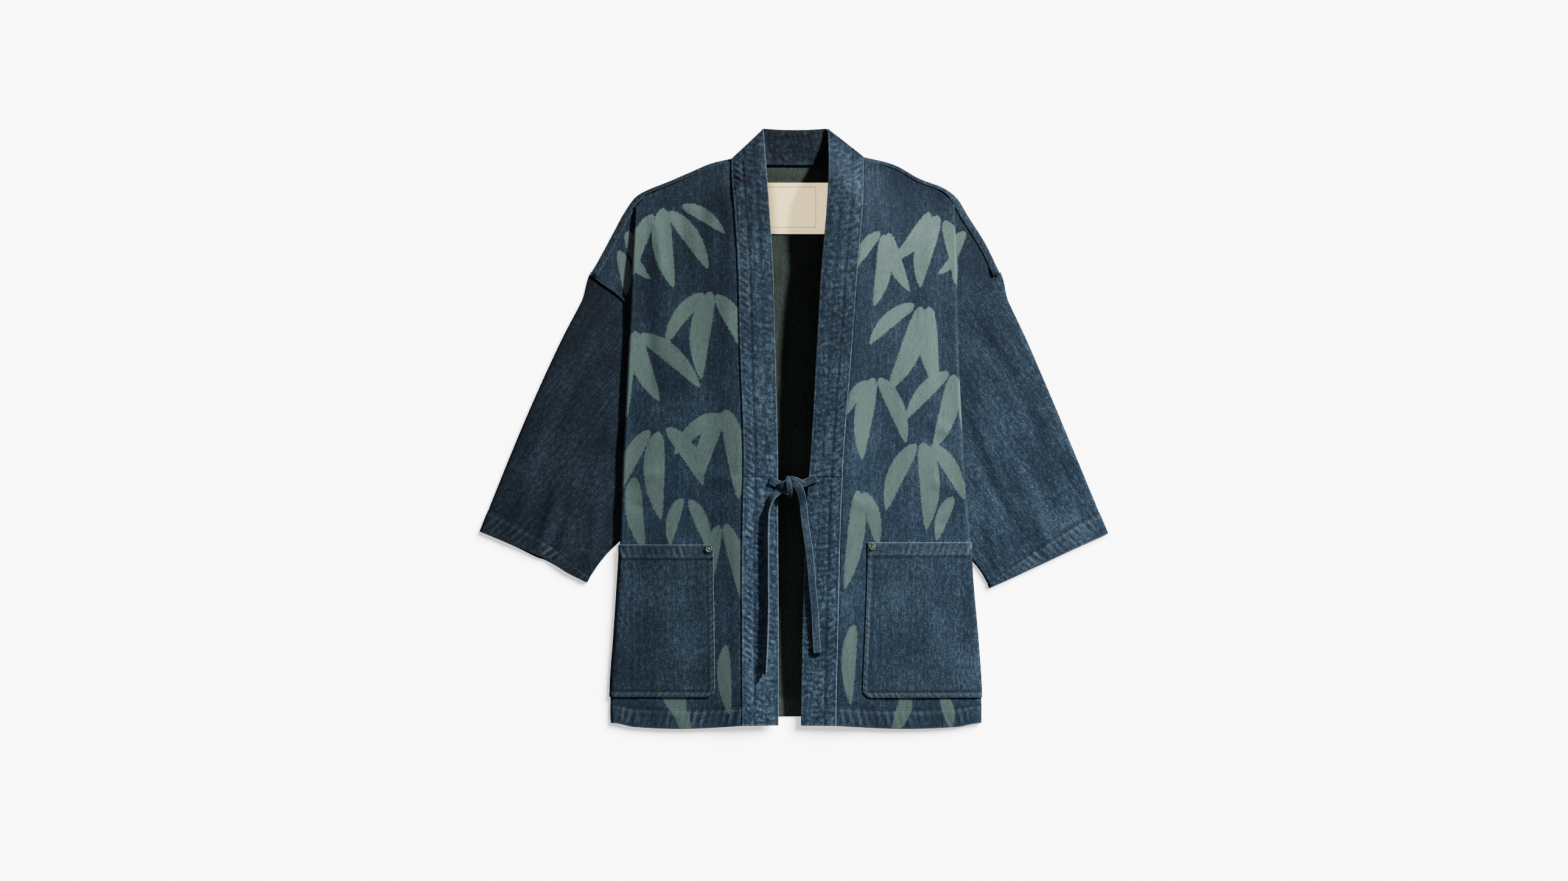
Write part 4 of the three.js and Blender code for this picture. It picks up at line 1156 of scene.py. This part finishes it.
def sleeve_wall(side):
    """A flattened tube, open at the armhole and at the cuff, from its lower layer round its edges."""
    place, height = sleeve_form(side)
    under = spline(CUFF[side], 3)
    k = samples(128, SLEEVE_LENGTH)[:, None]
    s = np.concatenate([np.linspace(0, 0.06, 4, endpoint=False), np.linspace(0.06, 1, 62)])[None, :]
    x, y = place(k, s)
    lower = grid(x, y - under(s) * k**8, DENIM / 2)
    back = s[:, ::-1]
    x, y = place(k, back)
    upper = grid(x, y, height(k, back) - DENIM / 2)

    def edge(share, turns):
        near = share + (-0.05 if share > 0.5 else 0.05)
        (x0, y0), (x1, y1) = place(k, share), place(k, near)
        half = height(k, share) / 2
        radius = half - DENIM / 2
        away = np.hypot(x0 - x1, y0 - y1)
        reach = radius * np.cos(turns) / away
        return grid(x0 + (x0 - x1) * reach, y0 + (y0 - y1) * reach, half + radius * np.sin(turns))

    turns = np.radians((-54, -20, 20, 54))[None, :]
    centre = np.concatenate([lower, edge(1.0, turns), upper, edge(0.0, -turns)], axis=1)
    run = np.array(place(1.0, 0.5)) - np.array(place(0.0, 0.5))
    run /= np.linalg.norm(run)
    length = centre[..., 0] * run[0] + centre[..., 1] * run[1]
    across = centre[..., 1] * run[0] - centre[..., 0] * run[1]
    cloth = grid(across, -length)
    up = (1 - k) * SLEEVE_LENGTH
    top = centre[..., 2] > SLEEVE_LOW / 2
    raised, wear, tone = hem(across, up, shown=top, **HEMS["cuff"])
    # The left sleeve's darker tone is painted shade as well as dye and wash.
    made = wall(centre, cloth, raised=raised, wear=wear, tone=SLEEVE_TONE_AND_SHADE[side] * tone, ring=True)
    made["upper"] = (lower.shape[1] + turns.shape[1], upper.shape[1])
    made["k"] = k[:, 0]
    return made


def make_sleeve(side):
    main = sleeve_wall(side)
    first, count = main["upper"]
    row = index_at(1 - CUFF_HEM / SLEEVE_LENGTH, main["k"])
    lines = [line_on(main, row, np.arange(first + 1, first + count - 1))]
    sewn_piece(f"sleeve_{side}", "denim", [main], [BODY_CLOTH, INSIDE_CLOTH], lines, 5, side == "left")


def quilting(across, length, seed):
    """The band's channels between its rows of stitches, with slanted puckers; 0 along a row. Its tone is
    darker in the puckers' hollows and along the deep second row, for unrubbed dye and painted shade in these
    recesses.
    """
    raised = np.zeros(np.broadcast(across, length).shape)
    wear = np.zeros_like(raised)
    tone = np.full_like(raised, 1.04)
    edges = (0.0, *BAND_ROWS, BAND_WIDTH)
    for n, (low, high) in enumerate(zip(edges, edges[1:])):
        t = np.clip((across - low) / (high - low), 0, 1)
        crown = np.sin(math.pi * t) ** 0.8
        pitch, slant, share = CHANNELS[n]
        puckers = rope(length, across, pitch, slant, seed + 7 * n)
        puckers = puckers + 0.4 * wander(length / 5.3 + across / 7, seed + 40 + n)
        raised = raised + crown * (0.55 * QUILT_RAISE + 0.95 * share * puckers)
        wear = wear + crown * share * (0.05 + 0.5 * np.clip(puckers, 0, 1) ** 1.5)
        # Darker in the puckers' hollows: unrubbed dye and painted shade.
        tone = tone - 0.2 * crown * share * np.clip(-puckers, 0, 1)
    for row in BAND_ROWS:
        raised = raised - 0.4 * line_at(across, row, 0.9)
    # The deep second row is darker: unrubbed dye and painted shade in its groove.
    deep = line_at(across, BAND_ROWS[1], 1.6)
    return raised - 0.4 * deep, wear, tone - 0.35 * deep


def band_wall(side, low, high_outer, high_inner, seed):
    """A length of the front band, from its outer edge to its inner one."""
    span = high_outer - low
    t = samples(int(span / 1.7), span)[:, None]
    share = samples(34, BAND_WIDTH)[None, ::-1]
    y = lerp(low, lerp(high_outer, high_inner, share), t)
    x = lerp(OUT_AT[side](y), IN_AT[side](y), share)
    across = share * BAND_WIDTH
    z = front_top(side, x, y) + BAND_PROUD - BAND_THICK / 2
    raised, wear, tone = quilting(across, y, seed)
    edge = np.minimum(across, BAND_WIDTH - across)
    wear = 0.8 * wear + 0.7 * line_at(edge, 0, 0.9)
    tone = tone * lerp(BAND_TONE[side], BAND_TONE["upper"], smooth(y, -200, 20))
    if low == BAND_FOOT:
        wear = wear + 0.5 * line_at(y, low, 2.5)
    near_top = smooth(NECK_BAND_TOP - y, 2, 24)
    raised = raised * (0.35 + 0.65 * near_top)
    main = wall(grid(x, y, z), grid(x, y), thick=BAND_THICK, raised=raised, wear=wear, tone=tone)
    return main, share[0]


def make_band(side, part, low, high_outer, high_inner, seed):
    main, share = band_wall(side, low, high_outer, high_inner, seed)
    rows = np.arange(1, main["outer"].shape[0] - 1)
    lines = [line_on(main, rows, index_at(row / BAND_WIDTH, share)) for row in BAND_ROWS]
    cross_row = 3.0 if part == "lower" else 4.0
    lines.append(line_on(main, cross_row, np.arange(3, len(share) - 3)))
    sewn_piece(f"band_{side}_{part}", "denim_band", [main], [BAND_CLOTH], lines, seed, side == "left")


def make_neck_band():
    share = samples(34, NECK_BAND_TOP - BACK_NECK)[:, None]
    t = np.linspace(-1, 1, 110)[None, :]
    y = lerp(BACK_NECK - 1.6, NECK_BAND_TOP, share)
    end = np.interp(y, (SHOULDER_EDGE["left"][0, 1], NECK_BAND_TOP), (SHOULDER_NECK - 1, NECK_CORNER))
    x = t * end
    y = y - NECK_DIP * share * (1 - t * t)
    stand = 1.9 * (1 - smooth(share, 0.02, 0.15)) + 2.2 * share**1.5
    stand = stand + 0.25 * wander(x / 9, 41) * np.sin(math.pi * share)
    beyond = np.abs(x) - on_side(x, lambda side, _: IN_AT[side](y))
    above = on_side(x, lambda side, out: front_top(side, out, y))
    room = np.maximum(above - NECK_BAND_UNDER - BAND_THICK / 2 - stand, 0)
    rise = room * smooth(beyond, -1, 9) * smooth(share, 0, 0.1)
    raised, wear, tone = quilting(share * BAND_WIDTH, x, 61)
    top = line_at((1 - share) * 48, 0, 1.2)
    main = wall(
        grid(x, y, BAND_THICK / 2 + stand), grid(x, y), thick=BAND_THICK, raised=0.6 * raised + rise,
        wear=0.25 * wear + 0.3 * top, tone=NECK_BAND_TONE * tone,
    )
    columns = np.arange(2, t.shape[1] - 2)
    lines = [line_on(main, index_at(row / BAND_WIDTH, share[:, 0]), columns) for row in BAND_ROWS]
    sewn_piece("band_neck", "denim_band", [main], [BAND_CLOTH], lines, 9)


def make_back():
    y = lerp(BACK_HEM, BACK_NECK, samples(190, BACK_NECK - BACK_HEM))[:, None]

    def half_width(side):
        share = np.linspace(0, 1, 40)
        seam_x, seam_y = armhole(side, share, 2 * GAP + 1.5 * share**6)
        flank_y = np.linspace(BACK_HEM, seam_y[-1] - 20, 30)
        flank_x = FOLD_AT[side](flank_y) - TUCK_AT(flank_y) - GAP
        edge = SHOULDER_EDGE[side][::-1]
        xs = np.concatenate([flank_x, seam_x[::-1], edge[:, 0]])
        ys = np.concatenate([flank_y, seam_y[::-1], edge[:, 1]])
        order = np.argsort(ys)
        return np.interp(y, ys[order], xs[order])

    t = samples(118, 430)[None, :]
    x = lerp(-half_width("left"), half_width("right"), t)
    shoulder = on_side(x, top_edge)
    reach = np.maximum(shoulder - BACK_NECK - 1, 0) * smooth(np.abs(x), 74, SHOULDER_NECK)
    y = y + reach * smooth(y, BACK_NECK - 16, BACK_NECK)
    lift = np.maximum(ridges(BACK_CREASES, x, y), 0)
    up = y - BACK_HEM
    in_hem = 1 - smooth(up, BODY_HEM - 0.6, BODY_HEM + 0.6)
    groove = line_at(up, BODY_HEM, 1.4)
    ripple = rope(x, up, 9.5, 0.5, 71) * in_hem
    raised = lift + HEM_RAISE * in_hem + 0.25 * ripple - 0.3 * groove
    centre = grid(x, y, DENIM / 2)
    main = wall(centre, grid(x, y), raised=raised, wear=0.05 + 0.2 * in_hem)
    lines = [
        line_on(main, index_at(BODY_HEM, up[:, 0]), np.arange(3, t.shape[1] - 3)),
        line_on(main, index_at(BACK_NECK - 3, y[:, 0]), np.arange(34, 84)),
    ]
    sewn_piece("back_panel", "denim_inside", [main], [INSIDE_CLOTH, BODY_CLOTH], lines, 15)


def make_label():
    x = lerp(LABEL["left"], LABEL["right"], samples(60, 106))[None, :]
    y = lerp(LABEL["bottom"], LABEL["top"], samples(40, 68))[:, None]
    z = LAID + LABEL_THICK / 2 + 0.35 + 0.3 * wander(x / 23 + y / 41, 81)
    main = wall(grid(x, y, z), grid(x, y), thick=LABEL_THICK)
    height, width = main["outer"].shape[:2]
    columns = np.arange(2, width - 2)
    lines = [line_on(main, 3.2, columns), line_on(main, height - 4.2, columns)]
    fine = {"length": 2.2, "gap": 1.1, "radius": 0.3}
    sewn_piece("neck_label", "label_cotton", [main], [LABEL_CLOTH], lines, 17, thread=LABEL_THREAD, **fine)
    LABEL_LIT.objects.link(PIECES["neck_label"][0])


def make_shoulder_strip(side):
    """The felled seam over the shoulder, narrow as far as the shoulder point, where the front covers it."""
    outer = SHOULDER_EDGE[side].copy()
    past = smooth(outer[:, :1], SHOULDER_POINT - 14, SHOULDER_POINT + 12)
    width = lerp(FELL_SHOWS, FELL_WIDTH + 1.4, past)
    inner = outer + (SHOULDER_SEAM[side] - outer) / (FELL_WIDTH + GAP) * width
    for line in (outer, inner):
        line[-1] += 0.6 * (line[-1] - line[-2])
        line[0] += 0.35 * (line[0] - line[1])
    width = width.T
    share = samples(9, FELL_WIDTH, (0.4, 1.0))[:, None]
    x = lerp(inner[None, :, 0], outer[None, :, 0], share)
    y = lerp(inner[None, :, 1], outer[None, :, 1], share)
    near_neck = 1 - smooth(inner[None, :, 0], SHOULDER_NECK, SHOULDER_NECK + CORNER_BLEND)
    upper = lerp(SEAM_TOP, CORNER_TOP - DENIM, near_neck) - DENIM / 2
    over_front = upper + lerp(1.1, 0.75, past.T)
    over_armhole = 2.3 * smooth(np.arange(SHOULDER_POINTS), SHOULDER_POINTS - 7, SHOULDER_POINTS - 1)
    z = lerp(over_front, LAID + FELL_THICK / 2, share**2) + over_armhole
    length = along(inner)[None, :]
    puckers = rope(length, share * width, 7.5, 0.6, 91 + SIDES[side])
    grooves = sum(line_at(share * width, row * width, 0.8) for row in FELL_ROWS)
    raised = 0.25 * np.sin(math.pi * share) + 0.2 * puckers - 0.25 * grooves
    edges = np.minimum(share, 1 - share) * width
    wear = 0.45 * line_at(edges, 0, 0.8) + 0.3 * np.clip(puckers, 0, 1)
    main = wall(grid(x, y, z), grid(x, y), thick=FELL_THICK, raised=raised, wear=wear)
    columns = np.arange(1, SHOULDER_POINTS - 2)
    lines = [line_on(main, index_at(row, share[:, 0]), columns) for row in FELL_ROWS]
    sewn_piece(f"shoulder_seam_{side}", "denim", [main], [BODY_CLOTH], lines, 19, side == "left")


def make_armhole_strip(side):
    inset = FELL_WIDTH * (1 - samples(9, FELL_WIDTH, (0.4, 1.0)))[:, None]
    share = np.linspace(*ARMHOLE_SHOWS, 44)[None, :]
    x, y = armhole(side, share, inset * FELL_SLANT - 1.0)
    y = y - inset * (1 - FELL_SLANT)
    z = 2 * LAID + DENIM / 2 + 0.9
    length = along(np.stack([x[0], y[0]], axis=1))[None, :]
    puckers = rope(length, inset, 7.0, 0.5, 101 + SIDES[side])
    edges = np.minimum(inset, FELL_WIDTH - inset)
    grooves = sum(line_at(inset, row, 0.8) for row in ARMHOLE_ROWS)
    raised = 0.2 * puckers - 0.25 * grooves
    wear = 0.5 * line_at(edges, 0, 0.8) + 0.28 * np.clip(puckers, 0, 1)
    main = wall(grid(x, y, z), grid(x, y), raised=raised, wear=wear)
    columns = np.arange(1, share.shape[1] - 1)
    lines = [line_on(main, index_at(row, inset[:, 0]), columns) for row in ARMHOLE_ROWS]
    sewn_piece(f"armhole_seam_{side}", "denim", [main], [BODY_CLOTH], lines, 23, side == "left")


def pocket_form(side):
    """The front's own face moved out, from the pocket's inner edge to the side and round the roll, and how
    far each of its points is from the pocket's inner edge, foot and top."""
    shape = POCKET[side]
    depth = shape["top"] - shape["foot"]
    corner = np.linspace(0, POCKET_CORNER / depth, 12)
    t = np.unique(np.concatenate([samples(112, depth), corner]).round(6))[:, None]
    y = lerp(shape["foot"], shape["top"], t)
    part = np.clip(POCKET_CORNER - t * depth, 0, POCKET_CORNER)
    first = spline(shape["inner"], 1)(y) + POCKET_CORNER - np.sqrt(POCKET_CORNER**2 - part**2)
    radius, start, middle = roll(side, y)[1:]
    flat_length = start - first
    reach = samples(66, 150)[None, :] * (flat_length + radius * POCKET_TURN)
    x = first + np.minimum(reach, flat_length)
    angle = np.maximum(reach - flat_length, 0) / radius
    on_front = front_top(side, x, y) - DENIM / 2
    z = np.where(angle > 0, middle + radius * np.cos(angle), on_front)
    centre = grid(x + radius * np.sin(angle), y, z)
    normal = np.cross(np.gradient(centre, axis=1), np.gradient(centre, axis=0))
    normal /= np.linalg.norm(normal, axis=2, keepdims=True)
    return centre + normal * (DENIM + GAP), grid(first + reach, y), reach, t * depth, (1 - t) * depth


def pocket_wall(side):
    """A patch pocket with a hem along its top and two rows of stitches along its other edges."""
    centre, cloth, reach, up, down = pocket_form(side)
    in_hem = 1 - smooth(down, POCKET_HEM - 0.6, POCKET_HEM + 0.6)
    round_edge = np.minimum(reach, up)
    ripple = rope(cloth[..., 0], down, 8.6, 0.35, 111) * in_hem * smooth(down, 0.5, 5)
    rim = 1 - smooth(round_edge, 4, 10)
    pulls = rope(np.where(reach < up, cloth[..., 1], cloth[..., 0]), round_edge, 8.2, 0.6, 113) * rim
    groove = line_at(down, POCKET_HEM, 1.3) + line_at(round_edge, 8, 1.1) * (down > POCKET_HEM)
    raised = HEM_RAISE * in_hem + 0.42 * ripple + 0.32 * pulls - 0.4 * groove
    edge = np.minimum(down, round_edge)
    below_hem = smooth(down, POCKET_HEM - 1, POCKET_HEM + 1)
    wear = 0.8 * line_at(edge, 0, 0.9) + 0.75 * np.clip(ripple, 0, 1) ** 1.5 + 0.6 * np.clip(pulls, 0, 1)
    wear = wear + 0.25 * line_at(down, POCKET_HEM - 3.2, 1.6)
    wear = wear + 0.3 * line_at(round_edge, 5, 1.5) * below_hem
    # sewn marks the stitched rows. The tone is darker there and in the hollows of the ripples and pulls, for
    # unrubbed dye and painted shade in these recesses.
    sewn = line_at(down, POCKET_HEM, 2) + line_at(round_edge, 8, 1.8) * below_hem
    tone = 1 - 0.5 * sewn - 0.3 * np.clip(-ripple, 0, 1) - 0.3 * np.clip(-pulls, 0, 1)
    # The left pocket's darker tone is painted shade as well as dye and wash.
    main = wall(centre, cloth, raised=raised, wear=wear + 0.03, tone=POCKET_TONE_AND_SHADE[side] * tone)
    main["down"], main["reach"], main["up"] = down[:, 0], reach, up[:, 0]
    return main


def make_pocket(side):
    main = pocket_wall(side)
    rows = np.arange(main["outer"].shape[0])
    last = main["outer"].shape[1] - 2
    lines = [line_on(main, index_at(POCKET_HEM, main["down"]), np.arange(1, last))]
    for inset, from_top in zip(POCKET_ROWS, (1, POCKET_HEM)):
        columns = np.array([index_at(inset, row) for row in main["reach"]])
        side_rows = rows[(main["up"] > inset) & (main["down"] > from_top)]
        lines.append(line_on(main, side_rows, columns[side_rows]))
        foot = index_at(inset, main["up"])
        lines.append(line_on(main, foot, np.arange(math.ceil(columns[int(foot)]), last)))
    sewn_piece(f"pocket_{side}", "denim", [main], [BODY_CLOTH], lines, 29, side == "left")


# Half the rivet's section, from its middle outwards. Columns: share of the radius, share of the height
RIVET_PROFILE = (
    (0.0, 1.0), (0.16, 0.98), (0.3, 0.72), (0.42, 0.55), (0.6, 0.62), (0.78, 0.92), (0.9, 0.98),
    (0.98, 0.7), (1.0, 0.35), (0.98, 0.0), (0.0, 0.0),
)


def make_rivet(side):
    x, y = RIVET[side]
    base = front_top(side, x, y) + GAP + DENIM + HEM_RAISE + 0.1
    angles = np.linspace(0, 2 * math.pi, 40, endpoint=False)
    rings = RIVET_PROFILE[1:-1]
    points = [(x, y, base + RIVET["height"] * RIVET_PROFILE[0][1])]
    for share, height in rings:
        r, z = share * RIVET["radius"], base + height * RIVET["height"]
        points += [(x + r * math.cos(a), y + r * math.sin(a), z) for a in angles]
    points.append((x, y, base))
    count = len(angles)
    faces = [(0, 1 + n, 1 + (n + 1) % count) for n in range(count)]
    for ring in range(len(rings) - 1):
        for n in range(count):
            a, b = 1 + ring * count + n, 1 + ring * count + (n + 1) % count
            faces.append((a, a + count, b + count, b))
    last = len(points) - 1
    start = 1 + (len(rings) - 1) * count
    faces += [(last, start + (n + 1) % count, start + n) for n in range(count)]
    made = mesh_of(f"rivet_{side}_metal", points, faces, side == "left", [RIVET_METAL])
    piece(f"rivet_{side}", made, "aged_copper")


def ribbon(rows, width, seed, thick=TIE_THICK, per=2.2):
    """A sewn strip along a line. Columns of rows: x, y, z, and the direction of its width, whose length is a
    share of that width."""
    line = curve_through(rows)
    line = evenly(line, max(int(along(line[:, :3])[-1] / per), 6))
    path, wide = line[:, :3], line[:, 3:]
    run = np.gradient(path, axis=0)
    run /= np.linalg.norm(run, axis=1, keepdims=True)
    wide = wide - run * np.sum(run * wide, axis=1, keepdims=True)
    share = samples(11, width, (0.4, 1.0)) - 0.5
    centre = path[:, None] + wide[:, None] * (share[None, :, None] * width)
    reach = along(path)[:, None]
    side = (share * width)[None, :]
    edge = width / 2 - np.abs(side)
    puckers = rope(reach, side, 6.5, 0.5, seed)
    groove = line_at(edge, TIE_STITCH, 0.8)
    raised = 0.22 * puckers * line_at(edge, 0, 3) - 0.2 * groove
    raised = raised + 0.15 * wander(reach / 9 + side / 5, seed)
    wear = 0.7 * line_at(edge, 0, 1) + 0.15 * np.clip(puckers, 0, 1) + 0.04
    return wall(centre, grid(side + TIE_CLOTH_AT, reach), thick=thick, raised=raised, wear=wear)


def tie_rows(name):
    """A tie's table as a line in space with the direction of its width."""
    rows = TIES[name]
    line = curve_through(rows, 8)
    run = np.gradient(line[:, :2], axis=0)
    run /= np.linalg.norm(run, axis=1, keepdims=True)
    made = []
    for (x, y, lift, tilt), (dx, dy) in zip(line, run):
        side = "left" if x < 0 else "right"
        bed = front_top(side, np.maximum(abs(x), IN_AT[side](y)), y) + BAND_PROUD + QUILT_RAISE + GAP
        turn = math.radians(tilt)
        width = (-dy * math.cos(turn), dx * math.cos(turn), math.sin(turn))
        made.append((x, y, float(bed) + TIE_THICK / 2 + lift, *width))
    return np.array(made)[::4]


def make_tie(name, seed):
    rows = tie_rows(name)
    if name in TAIL_HEADS:
        rows = np.vstack([TAIL_HEADS[name], rows[2:]])
    main = ribbon(rows, TIE_WIDTH, seed)
    across = samples(11, TIE_WIDTH, (0.4, 1.0)) * TIE_WIDTH
    length = main["outer"].shape[0]
    lines = [line_on(main, np.arange(1, length - 1), index_at(TIE_WIDTH - TIE_STITCH, across))]
    sewn_piece(name, "denim_tie", [main], [TIE_CLOTH], lines, seed)


def make_knot():
    strips = enumerate(KNOT_STRIPS.values())
    walls = [ribbon(rows, width, 131 + n, per=1.5) for n, (width, rows) in strips]
    angles = np.linspace(0, 2 * math.pi, 28, endpoint=False)[None, :]
    turn = np.linspace(0.06, math.pi - 0.06, 15)[:, None]
    x = KNOT_CENTRE[0] + KNOT_HALF[0] * np.sin(turn) * np.cos(angles)
    y = KNOT_CENTRE[1] - KNOT_HALF[1] * np.cos(turn)
    z = KNOT_CENTRE[2] + KNOT_HALF[2] * np.sin(turn) * np.sin(angles)
    # The knot's core under its strips is darkened, as painted shade in the crevices between the strips.
    walls.append(wall(grid(x, y, z), grid(x, y), thick=1.0, ring=True, tone=0.7))
    made = cloth_object("tie_knot_cloth", walls, [TIE_CLOTH])
    piece("tie_knot", made, "denim_tie")


def add_camera():
    data = bpy.data.cameras.new("camera")
    data.lens = LENS
    data.sensor_width = SENSOR
    camera = bpy.data.objects.new("camera", data)
    camera.location = (*FRAME_CENTRE, FRAME_WIDTH * LENS / SENSOR)
    bpy.context.scene.collection.objects.link(camera)
    bpy.context.scene.camera = camera


def add_light(name, kind, place, target, energy, size, receivers):
    """A lamp aimed from a place to a target; it lights only the objects of one collection."""
    data = bpy.data.lights.new(name, kind)
    data.energy = energy
    if kind == "AREA":
        data.shape = "DISK"
        data.size = size
    else:
        data.angle = size
    lamp = bpy.data.objects.new(name, data)
    lamp.location = place
    direction = [b - a for a, b in zip(place, target)]
    lamp.rotation_euler = Vector(direction).to_track_quat("-Z", "Y").to_euler()
    bpy.context.scene.collection.objects.link(lamp)
    lamp.light_linking.receiver_collection = receivers


def add_floor():
    mesh = bpy.data.meshes.new("floor")
    r = FLOOR_REACH
    mesh.from_pydata([(-r, -r, 0), (r, -r, 0), (r, r, 0), (-r, r, 0)], [], [(0, 1, 2, 3)])
    mesh.materials.append(lit_acrylic("white acrylic"))
    floor = bpy.data.objects.new("floor", mesh)
    floor.visible_diffuse = False
    floor.visible_glossy = False
    FLOOR.objects.link(floor)


def add_lights():
    for *lamp, lit in LAMPS:
        add_light(*lamp, bpy.data.collections[lit])
    world = bpy.data.worlds.new("studio")
    world.use_nodes = True
    background = world.node_tree.nodes["Background"]
    background.inputs["Color"].default_value = (1, 1, 1, 1)
    background.inputs["Strength"].default_value = ROOM_LIGHT
    bpy.context.scene.world = world


def collection(name):
    made = bpy.data.collections.new(name)
    bpy.context.scene.collection.children.link(made)
    return made


add_camera()
GARMENT = collection("garment")
FLOOR = collection("stage")
LABEL_LIT = collection("label")
INDIGO = ((0.0, "indigo_dark"), (0.5, "indigo"), (1.0, "indigo_pale"))
INSIDE = ((0.0, "inside_dark"), (0.5, "inside"), (1.0, "inside_pale"))
BODY_CLOTH = denim("washed indigo denim", INDIGO)
FRONT_CLOTH = denim("washed indigo denim, brush painted", INDIGO, 0.8, painted=True)
BAND_CLOTH = denim("quilted indigo denim", INDIGO, blotch=1.0)
TIE_CLOTH = denim("sewn indigo denim strip", INDIGO)
INSIDE_CLOTH = denim("denim, inner side", INSIDE, 0.7)
LABEL_CLOTH = label_cloth("cream cotton label")
THREAD = spun_thread("indigo cotton thread", "thread", "thread_pale")
LABEL_THREAD = spun_thread("tan cotton thread", "label_thread", "label")
RIVET_METAL = aged_copper("aged copper")

add_floor()
add_lights()
make_back()
make_label()
make_neck_band()
for side in SIDES:
    make_front(side)
    make_sleeve(side)
    make_band(side, "lower", BAND_FOOT, BAND_SEAM - GAP, BAND_SEAM - GAP, 141)
    make_band(side, "upper", BAND_SEAM, SHOULDER_EDGE[side][0, 1], NECK_BAND_TOP, 151)
    make_shoulder_strip(side)
    make_armhole_strip(side)
    make_pocket(side)
    make_rivet(side)
for number, tie in enumerate(TIES):
    make_tie(tie, 161 + number)
make_knot()

for nodes, sewn_on, flat, area, under in CUT:
    for side in SIDES if "{side}" in nodes else ("",):
        made, *trims = PIECES[nodes.format(side=side)]
        for node in sewn_on:
            trims += PIECES[node.format(side=side)]
